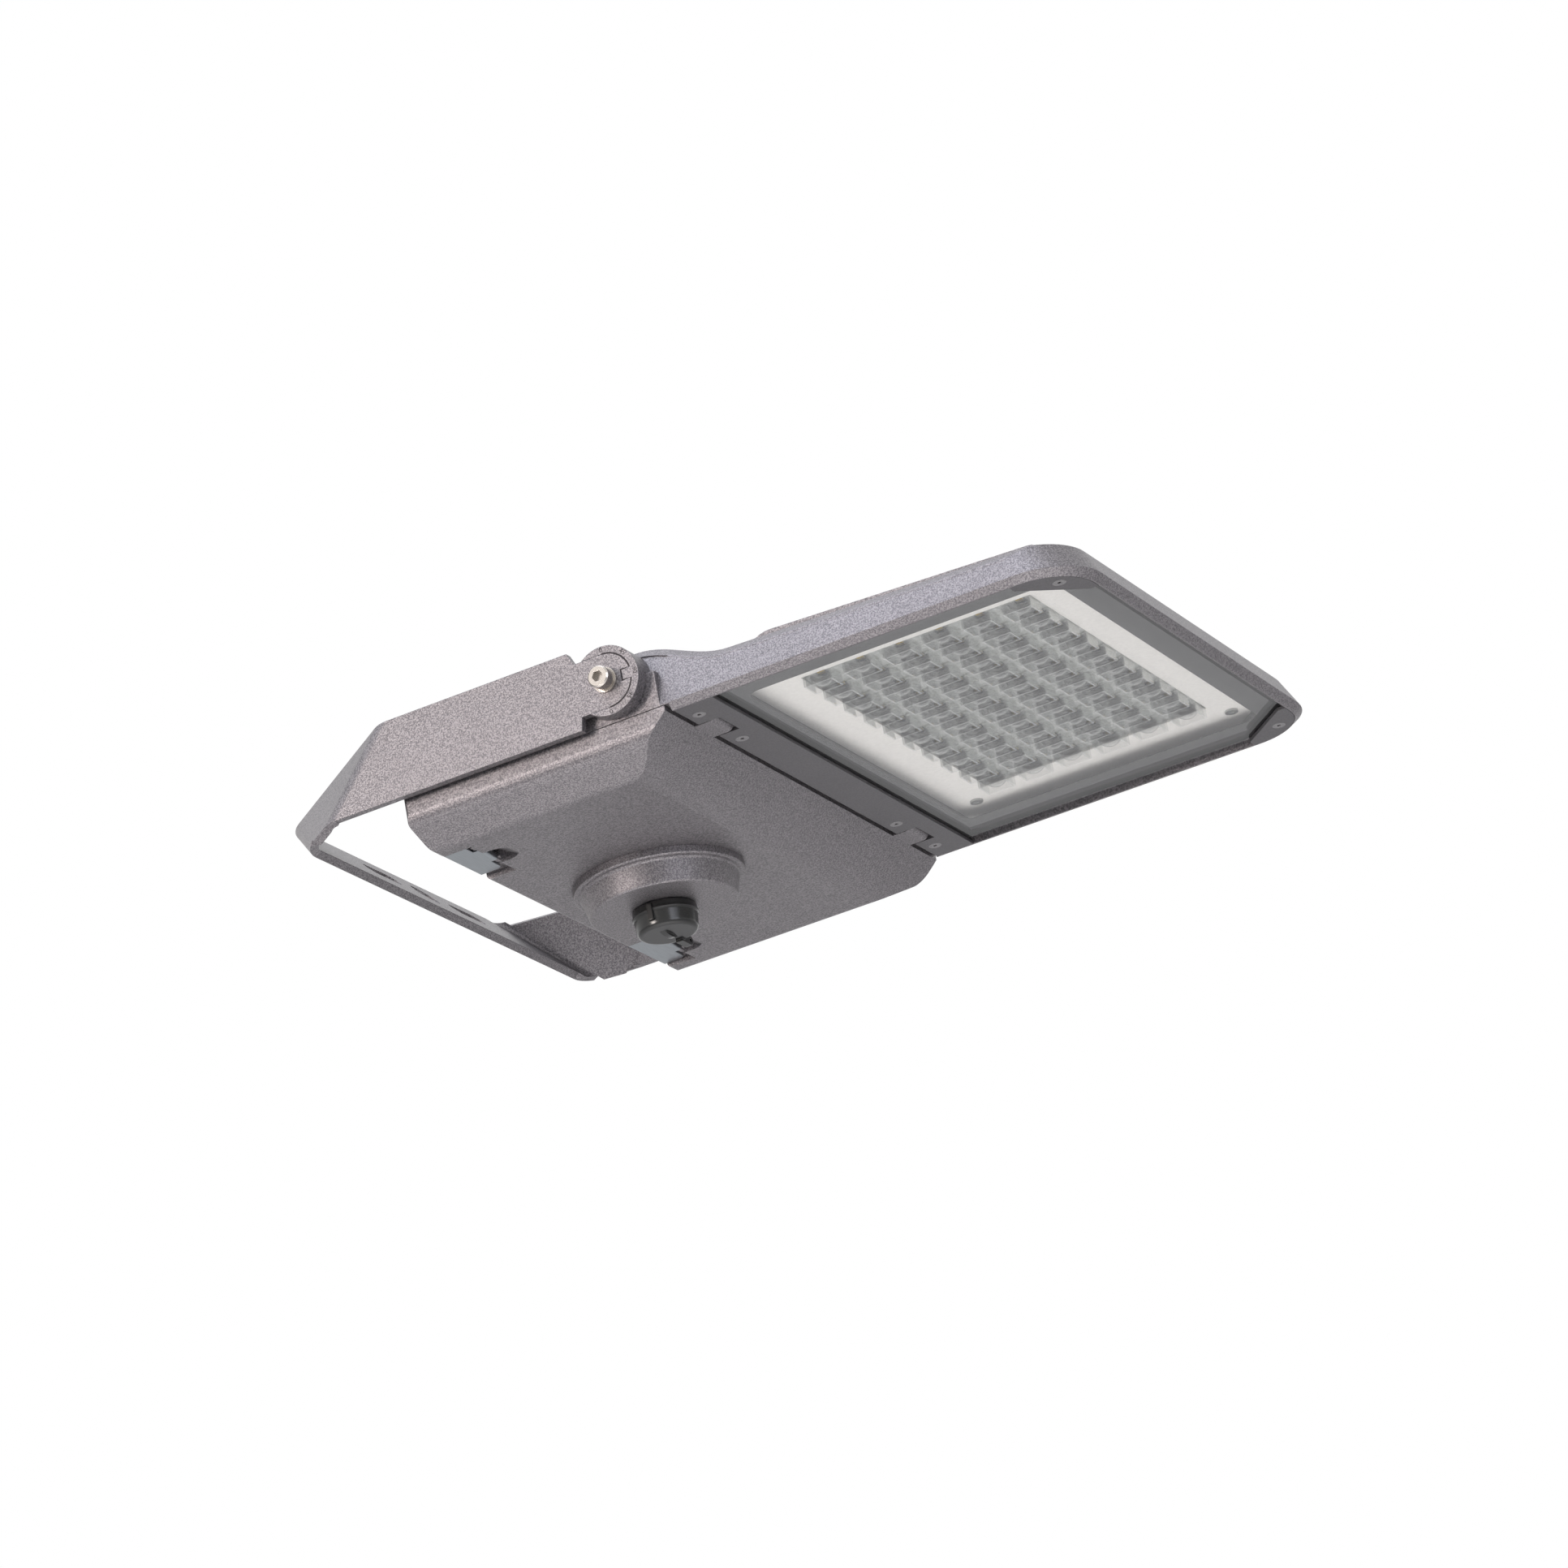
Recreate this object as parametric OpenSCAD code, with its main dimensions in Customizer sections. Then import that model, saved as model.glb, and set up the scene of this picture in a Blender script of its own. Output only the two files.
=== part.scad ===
// LED area floodlight on a folded stirrup bracket.
// +X runs from the bracket to the nose, +Y across the lamp, +Z up, and the glass faces down.
// The origin is the middle of the bracket's fixing hole, on the bracket's outer face.
// Every module draws its piece in the lamp's own frame, whose zero is the line where the hinge
// plate meets the glass, on the underside. place() then moves it to the bracket's hole.

/* [Lamp body] */
// Overall width of the casting across its side pads
body_w = 350; // [330:1:380]
// Length of the casting from the hinge line forward to the nose
front_len = 231; // [222:1:250]
// Length of the casting from the hinge line back to the rear wall
rear_len = 201; // [198:1:208]
// Wall of the casting
wall = 3; // [2.5:0.5:4]
// Chamfer round the lower rim
rim_chamfer = 4; // [3:0.5:5]
// Radius of the two nose corners seen from below
nose_r = 37; // [30:1:45]
// Radius of the two rear corners seen from below
rear_r = 2.5; // [1.5:0.5:5]
// Lean of the side walls from upright, in degrees
side_draft = 15; // [8:1:18]
// Lean of the nose wall from upright, in degrees
nose_draft = 27; // [15:1:30]
// Height of the shoulder over the pivots
shoulder_z = 46; // [44:1:50]
// Height of the front deck at its rear end
deck_rear_z = 27.5; // [26:0.5:31]
// Height of the front deck at the nose
deck_nose_z = 21.5; // [20:0.5:24]
// Width of the bevel along the upper edges
top_bevel = 5.5; // [4:0.5:7]
// Height of the roof over the control gear
roof_z = 62; // [58:1:70]
// Thickness of a cooling fin
fin_t = 4; // [3:0.5:5]
// Number of cooling fins
fin_count = 13; // [9:2:17]
// Height of the cooling fins over the front deck
fin_h = 9; // [6:1:12]

/* [Glass and optics] */
// Thickness of the glass
glass_t = 3; // [2.5:0.5:3]
// How far the glass lies above the rim's underside
glass_recess = 2.3; // [2:0.1:3]
// Height of the reflector panel's lower face above the rim's underside
panel_z = 13; // [12:0.5:14]
// Thickness of the reflector panel
panel_t = 1.2; // [1:0.1:1.5]
// Spacing of the lenses both ways
lens_pitch = 25.4; // [24:0.1:26]
// Lenses along the lamp
lens_cols = 6; // [6:1:6]
// Lenses across the lamp
lens_rows = 10; // [8:1:10]
// Length of one lens's rim along the lamp
lens_l = 18; // [16:0.5:20]
// Width of one lens's rim across the lamp
lens_w = 15; // [14:0.5:18]
// Height of a lens's rim under the reflector panel
lens_h = 6; // [4:0.5:6]
// Wall of a lens's rim
lens_wall = 1; // [0.8:0.1:1.4]
// Side of one LED package
led_s = 4; // [3:0.5:4.5]

/* [Door] */
// Depth of the door's flat bottom under the rim
door_depth = 23; // [22:0.5:26]
// Height of the joint between door and casting
seam_z = 3; // [2:0.5:4]
// Slope of the door's lower sides from level, in degrees
door_side_slope = 23.5; // [22:0.5:28]
// Height of the door's upright upper sides
door_skirt = 14.5; // [12:0.5:16]
// Radius where the door's sides turn into its bottom
door_edge_r = 14; // [10:1:16]
// Length of the curved slope at the front of the door
door_ramp = 38; // [34:1:44]
// Wall of the door
door_wall = 3; // [2.5:0.5:4]
// Distance of the door's hinge pins behind the hinge line
hinge_x = 20; // [19:0.5:21]
// Radius of the door's hinge knuckles
knuckle_r = 6.5; // [6:0.1:7]
// Diameter of the hinge pins
hinge_pin_d = 5; // [4:0.5:6]
// Distance of the middle of a hinge knuckle from the centre line
knuckle_y = 127; // [124:1:130]
// Width of a hinge knuckle
knuckle_w = 23; // [20:1:25]

/* [Socket dome] */
// Distance of the dome's axis behind the hinge line
dome_x = 132; // [130:1:136]
// Distance of the dome's axis from the centre line
dome_y = 0; // [-4:1:12]
// Radius of the dome's flange
dome_flange_r = 51.5; // [49:0.5:53]
// Radius of the dome's lower face
dome_r = 44.5; // [43:0.5:45.5]
// Depth of the dome under the door
dome_h = 19.5; // [18:0.5:22]
// Radius of the twist cap
cap_r = 20; // [18:0.5:22]
// Height of the twist cap under the dome
cap_h = 15.5; // [15:0.5:20]
// Radius of the socket's neck that carries the cap
neck_r = 14; // [12:0.5:15]

/* [Latches] */
// Distance of a latch's middle from the centre line
latch_y = 113.5; // [110:0.5:116]
// Width of a latch plate
latch_w = 48.5; // [44:0.5:50]
// Depth of a latch plate along the lamp
latch_l = 15.5; // [15:0.5:19]
// Thickness of the latch sheet
latch_t = 1.5; // [1.2:0.1:2]
// Width of the latch's rolled barrel
barrel_w = 22; // [18:1:26]
// Outer radius of the latch's rolled barrel
barrel_r = 2.6; // [2.4:0.1:3]
// Diameter of the latch pin
latch_pin_d = 2.4; // [2:0.1:2.6]

/* [Bracket] */
// Thickness of the bracket's plate
plate_t = 5; // [4:0.5:6]
// Width of the bracket's strip
strip_w = 48; // [46:0.5:50]
// Distance of the pivots behind the hinge line
pivot_x = 57; // [55:0.5:60]
// Height of the pivots above the rim's underside
pivot_z = 25.5; // [25:0.5:27]
// Length of an arm's upper edge from the pivot to the first bend
arm_len = 146.5; // [140:0.5:156]
// Slant of the first bend from upright, in degrees
arm_bend_slant = 41.7; // [40:0.1:44]
// Angle of the first bend, in degrees
arm_bend = 45; // [42:0.5:48]
// Length of a corner plate's upper edge
corner_len = 122; // [116:0.5:126]
// Inside radius of the bends
bend_r = 4; // [3:0.5:6]
// Radius of an arm's round end
arm_end_r = 16.2; // [15:0.1:17]
// Width of the key that holds a scale disc to its arm
key_w = 6.5; // [5:0.5:8]
// Diameter of the fixing hole in the crossbar
fix_hole_d = 21; // [17:0.5:22]
// Length of the two fixing slots from end to end
slot_len = 37; // [30:1:40]
// Width of the fixing slots
slot_w = 13; // [11:0.5:14]
// Distance of a slot's middle from the fixing hole
slot_y = 51; // [46:1:54]

/* [Pivots] */
// Radius of the scale discs
disc_r = 20.9; // [20:0.1:22]
// Thickness of a scale disc behind the arm
disc_base_t = 4.4; // [4:0.1:6]
// Diameter of the pivot screws
pivot_d = 8; // [6:1:8]
// Diameter of the pivot screws' heads
pivot_head_d = 13; // [12:0.5:14]
// Height of the pivot screws' heads
pivot_head_h = 8; // [6:0.5:9]
// Thickness of the pivot washers
washer_t = 2; // [1.6:0.1:2.5]

/* [Clearances] */
// Play round a pin that turns in its bore
run_gap = 0.05; // [0.03:0.01:0.09]
// Gap between faces that lie close but must not touch
seat_gap = 0.2; // [0.1:0.05:0.3]
// Gap between the door and the casting
door_gap = 0.4; // [0.3:0.1:0.6]

/* [Hidden] */
$fn = 64;
// A small overlap that makes cuts run through
eps = 0.5;
half_w = body_w / 2;

// Turns vector v about unit axis k by angle a
function turned(v, k, a) = v * cos(a) + cross(k, v) * sin(a) + k * (k * v) * (1 - cos(a));
// A smooth step from 0 to 1 as t runs from 0 to 1
function smooth(t) = (1 - cos(180 * max(0, min(1, t)))) / 2;

// Bracket geometry, worked out as a folded strip; "far" values are for the +Y arm
arm_in = half_w + seat_gap / 2 + disc_base_t;
arm_out = arm_in + plate_t;
strip_top = pivot_z + strip_w / 2;
fold_1 = [-sin(arm_bend_slant), 0, -cos(arm_bend_slant)];
corner_dir = turned([-1, 0, 0], fold_1, -arm_bend);
corner_up = turned([0, 0, 1], fold_1, -arm_bend);
fold_2_angle = atan2(1 + corner_dir[1], -corner_up[1]);
fold_2 = corner_dir * cos(fold_2_angle) + corner_up * sin(fold_2_angle);
corner_across = corner_dir - fold_2 * (fold_2 * corner_dir);
bar_across = [0, -1, 0] - fold_2 * (fold_2 * [0, -1, 0]);
bar_bend = acos(corner_across * bar_across / (norm(corner_across) * norm(bar_across)));
bar_up = turned(corner_up, fold_2, bar_bend);
arm_fold_top = [-pivot_x - arm_len, arm_out, strip_top];
bar_fold_top = arm_fold_top + corner_dir * corner_len;
bar_half = bar_fold_top[1];
mount_x = bar_fold_top[0] - bar_up[0] * strip_w / 2;
mount_z = bar_fold_top[2] - bar_up[2] * strip_w / 2;
bend_setback_1 = (bend_r + plate_t) * tan(arm_bend / 2);
bend_setback_2 = (bend_r + plate_t) * tan(bar_bend / 2);

module place() {
    translate([-mount_x, 0, -mount_z]) children();
}

module both_sides() {
    children();
    mirror([0, 1, 0]) children();
}

// Bars and rods used by several pieces

// A rod along Y from y0 to y1 through x, z
module rod_y(d, x, z, y0, y1) {
    translate([x, y0, z]) rotate([-90, 0, 0]) cylinder(d = d, h = y1 - y0);
}

// A box from one corner to the other
module block(low, high) {
    translate(low) cube(high - low);
}

// A shape drawn in X and Z, stretched from y0 to y1
module along_y(y0, y1) {
    translate([0, y1, 0]) rotate([90, 0, 0]) linear_extrude(y1 - y0) children();
}

// A shape drawn in Y and Z, stretched from x0 to x1
module along_x(x0, x1) {
    translate([x0, 0, 0]) rotate([90, 0, 90]) linear_extrude(x1 - x0) children();
}

// A countersunk screw whose head's face lies at z = 0 and whose shank rises
module countersunk(head_d, d, length) {
    difference() {
        union() {
            cylinder(d1 = head_d, d2 = d, h = (head_d - d) / 2);
            cylinder(d = d, h = length);
        }
        translate([0, 0, -eps]) cylinder(d = d * 0.6, h = 1.2 + eps, $fn = 6);
    }
}

// A cheese-head screw whose head's top lies at z = 0 and whose shank runs down
module cheese_head(head_d, head_h, d, length) {
    difference() {
        translate([0, 0, -head_h]) {
            cylinder(d = head_d, h = head_h);
            translate([0, 0, -length]) cylinder(d = d, h = length);
        }
        translate([0, 0, -head_h / 2]) cylinder(d = head_d / 2, h = head_h, $fn = 6);
    }
}

// Bracket, drawn flat and folded

// The frame of the +Y arm's sheet: x back from the first bend, y up, z outward
module arm_frame() {
    translate(arm_fold_top) rotate([90, 0, 180]) children();
}

module first_bend() {
    rotate(a = -arm_bend, v = [sin(arm_bend_slant), -cos(arm_bend_slant), 0]) children();
}

module second_bend() {
    translate([corner_len, 0, 0])
        rotate(a = bar_bend, v = [cos(fold_2_angle), sin(fold_2_angle), 0])
            translate([-corner_len, 0, 0]) children();
}

module sheet() {
    translate([0, 0, -plate_t]) linear_extrude(plate_t) children();
}

arm_trim = bend_setback_1 / cos(arm_bend_slant);
bar_trim = bend_setback_2 / sin(fold_2_angle);
arm_slant_run = strip_w * tan(arm_bend_slant);
bar_slant_run = strip_w / tan(fold_2_angle);
arm_step = 20;

module arm_outline(gap = 0) {
    mid = -strip_w / 2;
    difference() {
        union() {
            translate([-arm_len, mid]) circle(arm_end_r + gap);
            polygon([[-arm_trim, gap], [-arm_len + arm_step + 1.5, gap],
                [-arm_len + arm_step - 2, mid + arm_end_r + gap],
                [-arm_len, mid + arm_end_r + gap], [-arm_len, mid - arm_end_r - gap],
                [-arm_len + arm_step - 1.5, mid - arm_end_r - gap],
                [-arm_len + arm_step, -strip_w - gap],
                [arm_slant_run - arm_trim, -strip_w - gap]]);
        }
        key = key_w + seat_gap - 2 * gap;
        translate([-arm_len - 2 * arm_end_r, mid - key / 2])
            square([arm_end_r + 6 - gap, key]);
    }
}

module corner_outline() {
    polygon([[arm_trim, 0], [corner_len - bar_trim, 0],
        [corner_len - bar_slant_run - bar_trim, -strip_w],
        [arm_slant_run + arm_trim, -strip_w]]);
}

module slot_2d(length, width) {
    run = (length - width) / 2;
    square([2 * run, width], center = true);
    for (s = [-run, run]) translate([s, 0]) circle(d = width);
}

module bar_outline() {
    far_end = corner_len + 2 * bar_half;
    difference() {
        polygon([[corner_len + bar_trim, 0], [far_end - bar_trim, 0],
            [far_end + bar_slant_run - bar_trim, -strip_w],
            [corner_len - bar_slant_run + bar_trim, -strip_w]]);
        translate([corner_len + bar_half, -strip_w / 2]) {
            circle(d = fix_hole_d);
            for (s = [-slot_y, slot_y]) translate([s, 0]) slot_2d(slot_len, slot_w);
        }
    }
}

// The round of a bend: a ring's sector along the bend line, cut off level with the strip's edges.
// It runs a degree into both sheets and stands a hair back from their faces, so they join.
hair = 0.01;

module bend_sector(angle, setback, line_turn, axis) {
    outer = bend_r + plate_t;
    bent = turned([1, 0, 0], axis, angle);
    lean = atan2(bent[1], -bent[2]);
    sweep = abs(angle);
    wide = strip_w * cos(lean) - 4 * hair;
    intersection() {
        rotate([0, 0, line_turn]) translate([-setback, 0, -outer])
            rotate([90, 0, 0]) rotate([0, 0, 89 - sweep]) rotate_extrude(angle = sweep + 2)
                translate([bend_r + hair, -1.5 * strip_w])
                    square([plate_t - 2 * hair, 3 * strip_w]);
        rotate([lean, 0, 0]) translate([-3 * strip_w, -wide - 2 * hair, -strip_w])
            cube([6 * strip_w, wide, 2 * strip_w]);
    }
}

module bracket_side() {
    arm_frame() {
        difference() {
            sheet() arm_outline();
            translate([-arm_len, -strip_w / 2, -plate_t - eps])
                cylinder(d = pivot_d + 2 * seat_gap, h = plate_t + 2 * eps);
        }
        bend_sector(-arm_bend, bend_setback_1, arm_bend_slant,
            [sin(arm_bend_slant), -cos(arm_bend_slant), 0]);
        first_bend() {
            sheet() corner_outline();
            translate([corner_len, 0, 0])
                bend_sector(bar_bend, bend_setback_2, fold_2_angle - 90,
                    [cos(fold_2_angle), sin(fold_2_angle), 0]);
        }
    }
}

module bracket() {
    color("#a09a9c") place() {
        both_sides() bracket_side();
        arm_frame() first_bend() second_bend() sheet() bar_outline();
    }
}

// Pivots

module scale_disc() {
    inner = half_w + seat_gap / 2;
    difference() {
        rod_y(2 * disc_r, -pivot_x, pivot_z, inner, arm_out);
        arm_frame() translate([0, 0, -plate_t]) linear_extrude(plate_t + eps)
            arm_outline(seat_gap);
        rod_y(pivot_d + 2 * seat_gap, -pivot_x, pivot_z, inner - eps, arm_in + eps);
        for (a = [-90:22.5:90])
            translate([-pivot_x, inner - eps, pivot_z]) rotate([0, -a, 0])
                translate([disc_r - 0.8, 0, -0.5]) cube([2, eps + 1.2, 1]);
    }
}

module scale_disc_near() {
    color("#9a9496") place() mirror([0, 1, 0]) scale_disc();
}

module scale_disc_far() {
    color("#9a9496") place() scale_disc();
}

pivot_boss_len = 22;
socket_af = 6;

module pivot_screw() {
    face = arm_out + washer_t + pivot_head_h;
    difference() {
        union() {
            rod_y(pivot_head_d, -pivot_x, pivot_z, arm_out + washer_t, face - 0.8);
            translate([-pivot_x, face - 0.8, pivot_z]) rotate([-90, 0, 0])
                cylinder(d1 = pivot_head_d, d2 = pivot_head_d - 1.6, h = 0.8);
            rod_y(pivot_d, -pivot_x, pivot_z, half_w - pivot_boss_len + 2, arm_out + washer_t);
        }
        translate([-pivot_x, face - pivot_head_h / 2, pivot_z]) rotate([-90, 0, 0])
            cylinder(d = socket_af / cos(30), h = pivot_head_h, $fn = 6);
    }
}

module pivot_screws() {
    color("#d8d2cc") place() both_sides() pivot_screw();
}

module pivot_washers() {
    color("#c2beb8") place() both_sides() difference() {
        rod_y(pivot_head_d + 1.8, -pivot_x, pivot_z, arm_out, arm_out + washer_t);
        rod_y(pivot_d + 2 * run_gap, -pivot_x, pivot_z, arm_out - eps, arm_out + washer_t + eps);
    }
}

// Casting

// Where the shoulder over the pivots starts and ends its fall to the deck
shoulder_back = -pivot_x + 9;
shoulder_front = 14;
deck_end = front_len - 18;
function deck(x) = deck_rear_z + (deck_nose_z - deck_rear_z) * (x - shoulder_front)
    / (deck_end - shoulder_front);
function top(x) = let (t = smooth((x - shoulder_back) / (shoulder_front - shoulder_back)))
    x > shoulder_front ? deck(x) : shoulder_z + (deck_rear_z - shoulder_z) * t;
// Half width of the leaning side wall at height z
function wall_y(z) = half_w - (z - rim_chamfer) * tan(side_draft);
// A small drip lip stands out under the bevel
lip = 0.7;

function section(x) = let (
        t = top(x),
        low = t - top_bevel,
        y = wall_y(low))
    [[wall_y(-1), -1], [y, low - lip / 2], [y + lip, low], [y - top_bevel, t],
     [-y + top_bevel, t], [-y - lip, low], [-y, low - lip / 2], [-wall_y(-1), -1]];

// A solid lofted through the sections at the given stations
module loft(stations) {
    n = 8;
    last = len(stations) - 1;
    points = [for (x = stations) for (p = section(x)) [x, p[0], p[1]]];
    sides = [for (i = [0:last - 1]) for (j = [0:n - 1])
        let (a = i * n + j, b = i * n + (j + 1) % n)
        each [[a, a + n, b + n], [a, b + n, b]]];
    ends = [[for (j = [0:n - 1]) j], [for (j = [n - 1:-1:0]) last * n + j]];
    polyhedron(points, concat(sides, ends), convexity = 6);
}

// The plan of the casting's rear part
module rear_plan(inset = 0, front = 0) {
    r = max(0.6, rear_r - inset);
    x0 = -rear_len + inset;
    y = half_w - inset;
    translate([x0 + r, -y]) square([front - x0 - r, 2 * y]);
    translate([x0, -y + r]) square([r + 1, 2 * (y - r)]);
    for (s = [-1, 1]) translate([x0 + r, s * (y - r)]) circle(r);
}

// A plate with the plan of the front part's rim, inset, from x0 to the nose
module nose_plan(inset, x0) {
    r = nose_r - inset;
    x1 = front_len - inset;
    y = half_w - inset;
    translate([x0, -y]) square([x1 - r - x0, 2 * y]);
    translate([x1 - r - 1, -y + r]) square([r + 1, 2 * (y - r)]);
    for (s = [-1, 1]) translate([x1 - r, s * (y - r)]) circle(r);
}

body_top = 80;
front_start = -26;

// A thin slice of the front part's outside at height z, narrowed by in_x at the nose and in_y
// at each side
module front_slice(z, in_x, in_y) {
    r = nose_r - min(in_x, in_y) / 3;
    x1 = front_len - in_x - r;
    y1 = half_w - in_y - r;
    translate([0, 0, z]) linear_extrude(0.02) {
        translate([front_start, -half_w + in_y]) square([x1 - front_start, 2 * (half_w - in_y)]);
        for (s = [-1, 1]) translate([x1, s * y1]) circle(r);
    }
}

// The front part's outside: a chamfered rim under walls that lean in, with round corners
module front_block() {
    rise = body_top - rim_chamfer;
    hull() {
        front_slice(0, rim_chamfer, rim_chamfer);
        front_slice(rim_chamfer, 0, 0);
        front_slice(body_top, rise * tan(nose_draft), rise * tan(side_draft));
    }
}

loft_stations = concat([-rear_len - 5], [for (i = [0:12]) shoulder_back
    + (shoulder_front - shoulder_back) * i / 12], [front_len + 2]);

// The roof over the control gear
roof_back = -rear_len + 8;
roof_flat_end = -78;
roof_half = 145;
function roof_line(x) = roof_z + (deck_rear_z + 1 - roof_z)
    * smooth((x - roof_flat_end) / (shoulder_front - roof_flat_end));
roof_steps = 12;

module roof_profile(inset = 0) {
    span = shoulder_front - roof_flat_end;
    polygon(concat([[roof_back + inset, shoulder_z - 12],
        [roof_back + inset, shoulder_z + 4 - inset / 2],
        [roof_back + 12 + inset / 2, roof_z - inset]],
        [for (i = [0:roof_steps]) let (x = roof_flat_end + span * i / roof_steps)
            [x - inset, roof_line(x) - inset]],
        [[shoulder_front - inset, 20]]));
}

module roof(inset = 0) {
    intersection() {
        along_y(-roof_half, roof_half) roof_profile(inset);
        along_x(-rear_len, shoulder_front + 1)
            polygon([[-roof_half + inset, 0], [-roof_half + inset, shoulder_z - 1],
                [-roof_half + 33 + inset / 2, roof_z - inset],
                [roof_half - 33 - inset / 2, roof_z - inset],
                [roof_half - inset, shoulder_z - 1], [roof_half - inset, 0]]);
    }
}

fin_start = 13;
fin_end = deck_end - 5;
fin_rise = 20;

module fin() {
    polygon(concat([[fin_start - 4, deck(fin_start) - 3]],
        [for (i = [0:6]) let (x = fin_start + fin_rise * i / 6)
            [x, deck(x) + fin_h * sin(90 * i / 6)]],
        [for (i = [0:5]) let (x = fin_end - 12 + 12 * i / 5)
            [x, deck(x) + (fin_h - 1.5) * cos(90 * i / 5)]],
        [[fin_end + 2, deck(fin_end) - 3]]));
}

module fins() {
    span = 2 * 150 - fin_t;
    for (i = [0:fin_count - 1]) {
        y = -150 + span * i / (fin_count - 1);
        along_y(y, y + fin_t) fin();
    }
}

// Flat pads on the sides that carry the scale discs
pad_front = 26;
pad_back = 25;
rear_bottom = seam_z + door_gap;

module side_pad() {
    y0 = half_w - 18;
    rod_y(2 * disc_r, -pivot_x, pivot_z, y0, half_w);
    block([-pivot_x - pad_back, y0, rear_bottom], [-pivot_x + pad_front, half_w, pivot_z]);
    // The screw's boss inside the wall
    rod_y(24, -pivot_x, pivot_z, half_w - pivot_boss_len, half_w - 1);
}

// Inner levels, all from the glass
glass_top = glass_recess + glass_t;
gasket_t = 1;
ledge_z = glass_top + gasket_t;
rim_land = 1.3;
rim_inset = rim_chamfer + rim_land;
glass_back = -4;
array_x = (glass_back + front_len - rim_inset) / 2 - 3.3;
lens_base_t = 1.8;
lens_face_z = panel_z + panel_t + 0.1;
board_t = 1.6;
board_z = lens_face_z + lens_base_t + 0.1;
ceiling_z = board_z + board_t;
optic_inset = rim_inset + 7;
optic_back = 3;
plate_h = glass_recess - seat_gap;
plate_back = -hinge_x - 5.5;
beam_back = -hinge_x - 12;
beam_shelf = hinge_z() + knuckle_r + 2.5;
beam_wall = -8;
function hinge_z() = knuckle_r;
m4_head_d = 8;
lens_plate = [lens_cols * lens_pitch, lens_rows * lens_pitch];
panel_screw_room = m4_head_d / 2 + 1.5;
panel_screw_x = [min(19.4, array_x - lens_plate[0] / 2 - panel_screw_room),
    max(front_len - 41.4, array_x + lens_plate[0] / 2 + panel_screw_room)];
panel_screw_y = 138.5;
hinge_screw_x = -18.3;
hinge_screw_y = [99.7, 152.5];
clamp_screw = [front_len - 19.6, half_w - 21.5];
m4_d = 4;

module panel_screw_places() {
    both_sides() for (x = panel_screw_x) translate([x, panel_screw_y, 0]) children();
}

module clamp_screw_places() {
    both_sides() translate([clamp_screw[0], clamp_screw[1], 0]) children();
}

module hinge_screw_places() {
    both_sides() for (y = hinge_screw_y) translate([hinge_screw_x, y, 0]) children();
}

// Room for a door knuckle, open below
module knuckle_room() {
    y0 = knuckle_y - knuckle_w / 2 - 1;
    y1 = knuckle_y + knuckle_w / 2 + 1;
    room = knuckle_r + 1.2;
    rod_y(2 * room, -hinge_x, hinge_z(), y0, y1);
    block([-hinge_x - 10.5, y0, -1], [-hinge_x, y1, hinge_z() - 1]);
    block([-hinge_x - 1, y0, -1], [-hinge_x + room, y1, hinge_z()]);
}

// Recess in the rear walls in which a latch's leg lies
latch_leg_top = seam_z + 10;
latch_side_gap = 1.2;

module latch_leg_room() {
    w = latch_w / 2 + latch_side_gap;
    block([-rear_len - 1, latch_y - w, -door_depth - 1],
        [-rear_len + latch_t + 0.5, latch_y + w, latch_leg_top + 7]);
}

tray_back = -rear_len + 17;
tray_front = -54;
tray_half = 128;
gear_posts = [[tray_back + 8, tray_half - 10], [tray_front - 8, tray_half - 10]];
gear_mid = (tray_back + tray_front) / 2;
tray_z = 40;
gland_y = -55;
vent_y = 45;
wall_fitting_z = 24;
gland_d = 20;
vent_d = 12;

module housing_outside() {
    intersection() {
        loft(loft_stations);
        union() {
            front_block();
            translate([0, 0, rear_bottom]) linear_extrude(body_top)
                rear_plan(0, front_start + 1);
        }
    }
    roof();
    fins();
    both_sides() side_pad();
}

mouth_inset = 9;
mouth_front = beam_back - 6;
mouth_top = rear_bottom + 3;

module rear_room() {
    low = wall_y(rim_chamfer) - wall - 0.5;
    high = wall_y(shoulder_z) - wall - 1.5;
    ceiling = shoulder_z - wall - 1;
    translate([0, 0, -1]) linear_extrude(mouth_top + 1.1)
        rear_plan(mouth_inset, mouth_front);
    intersection() {
        along_x(-rear_len + wall, beam_back)
            polygon([[-low, mouth_top], [-high, ceiling], [high, ceiling], [low, mouth_top]]);
        union() {
            block([-rear_len, -half_w, 0], [-pivot_x + 15, half_w, ceiling]);
            block([-pivot_x + 14, -half_w, 0], [0, half_w, deck_rear_z]);
        }
    }
    intersection() {
        roof(wall);
        block([-rear_len + wall, -roof_half, 20], [beam_wall, roof_half, roof_z - wall]);
    }
}

// Everything on the inner side of two lines that cut off the nose corners
module corner_cut(reach) {
    polygon([[-rear_len, reach + rear_len], [reach, 0], [-rear_len, -reach - rear_len]]);
}

module glass_plan(inset, back, reach) {
    intersection() {
        nose_plan(inset, back);
        corner_cut(reach);
    }
}

// The slanted inner edge of the corner clamps crosses the centre line at this x
clamp_line = front_len + 120.5;

module optic_room() {
    translate([0, 0, -1]) linear_extrude(plate_h + 1.1) nose_plan(rim_inset, glass_back - 0.5);
    translate([0, 0, -1]) linear_extrude(ledge_z + 1)
        glass_plan(rim_inset, glass_back - 0.5, clamp_line + 6.5);
    translate([0, 0, ledge_z - 1]) linear_extrude(ceiling_z - ledge_z + 1)
        glass_plan(optic_inset, optic_back, clamp_line - 3);
}

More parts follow.
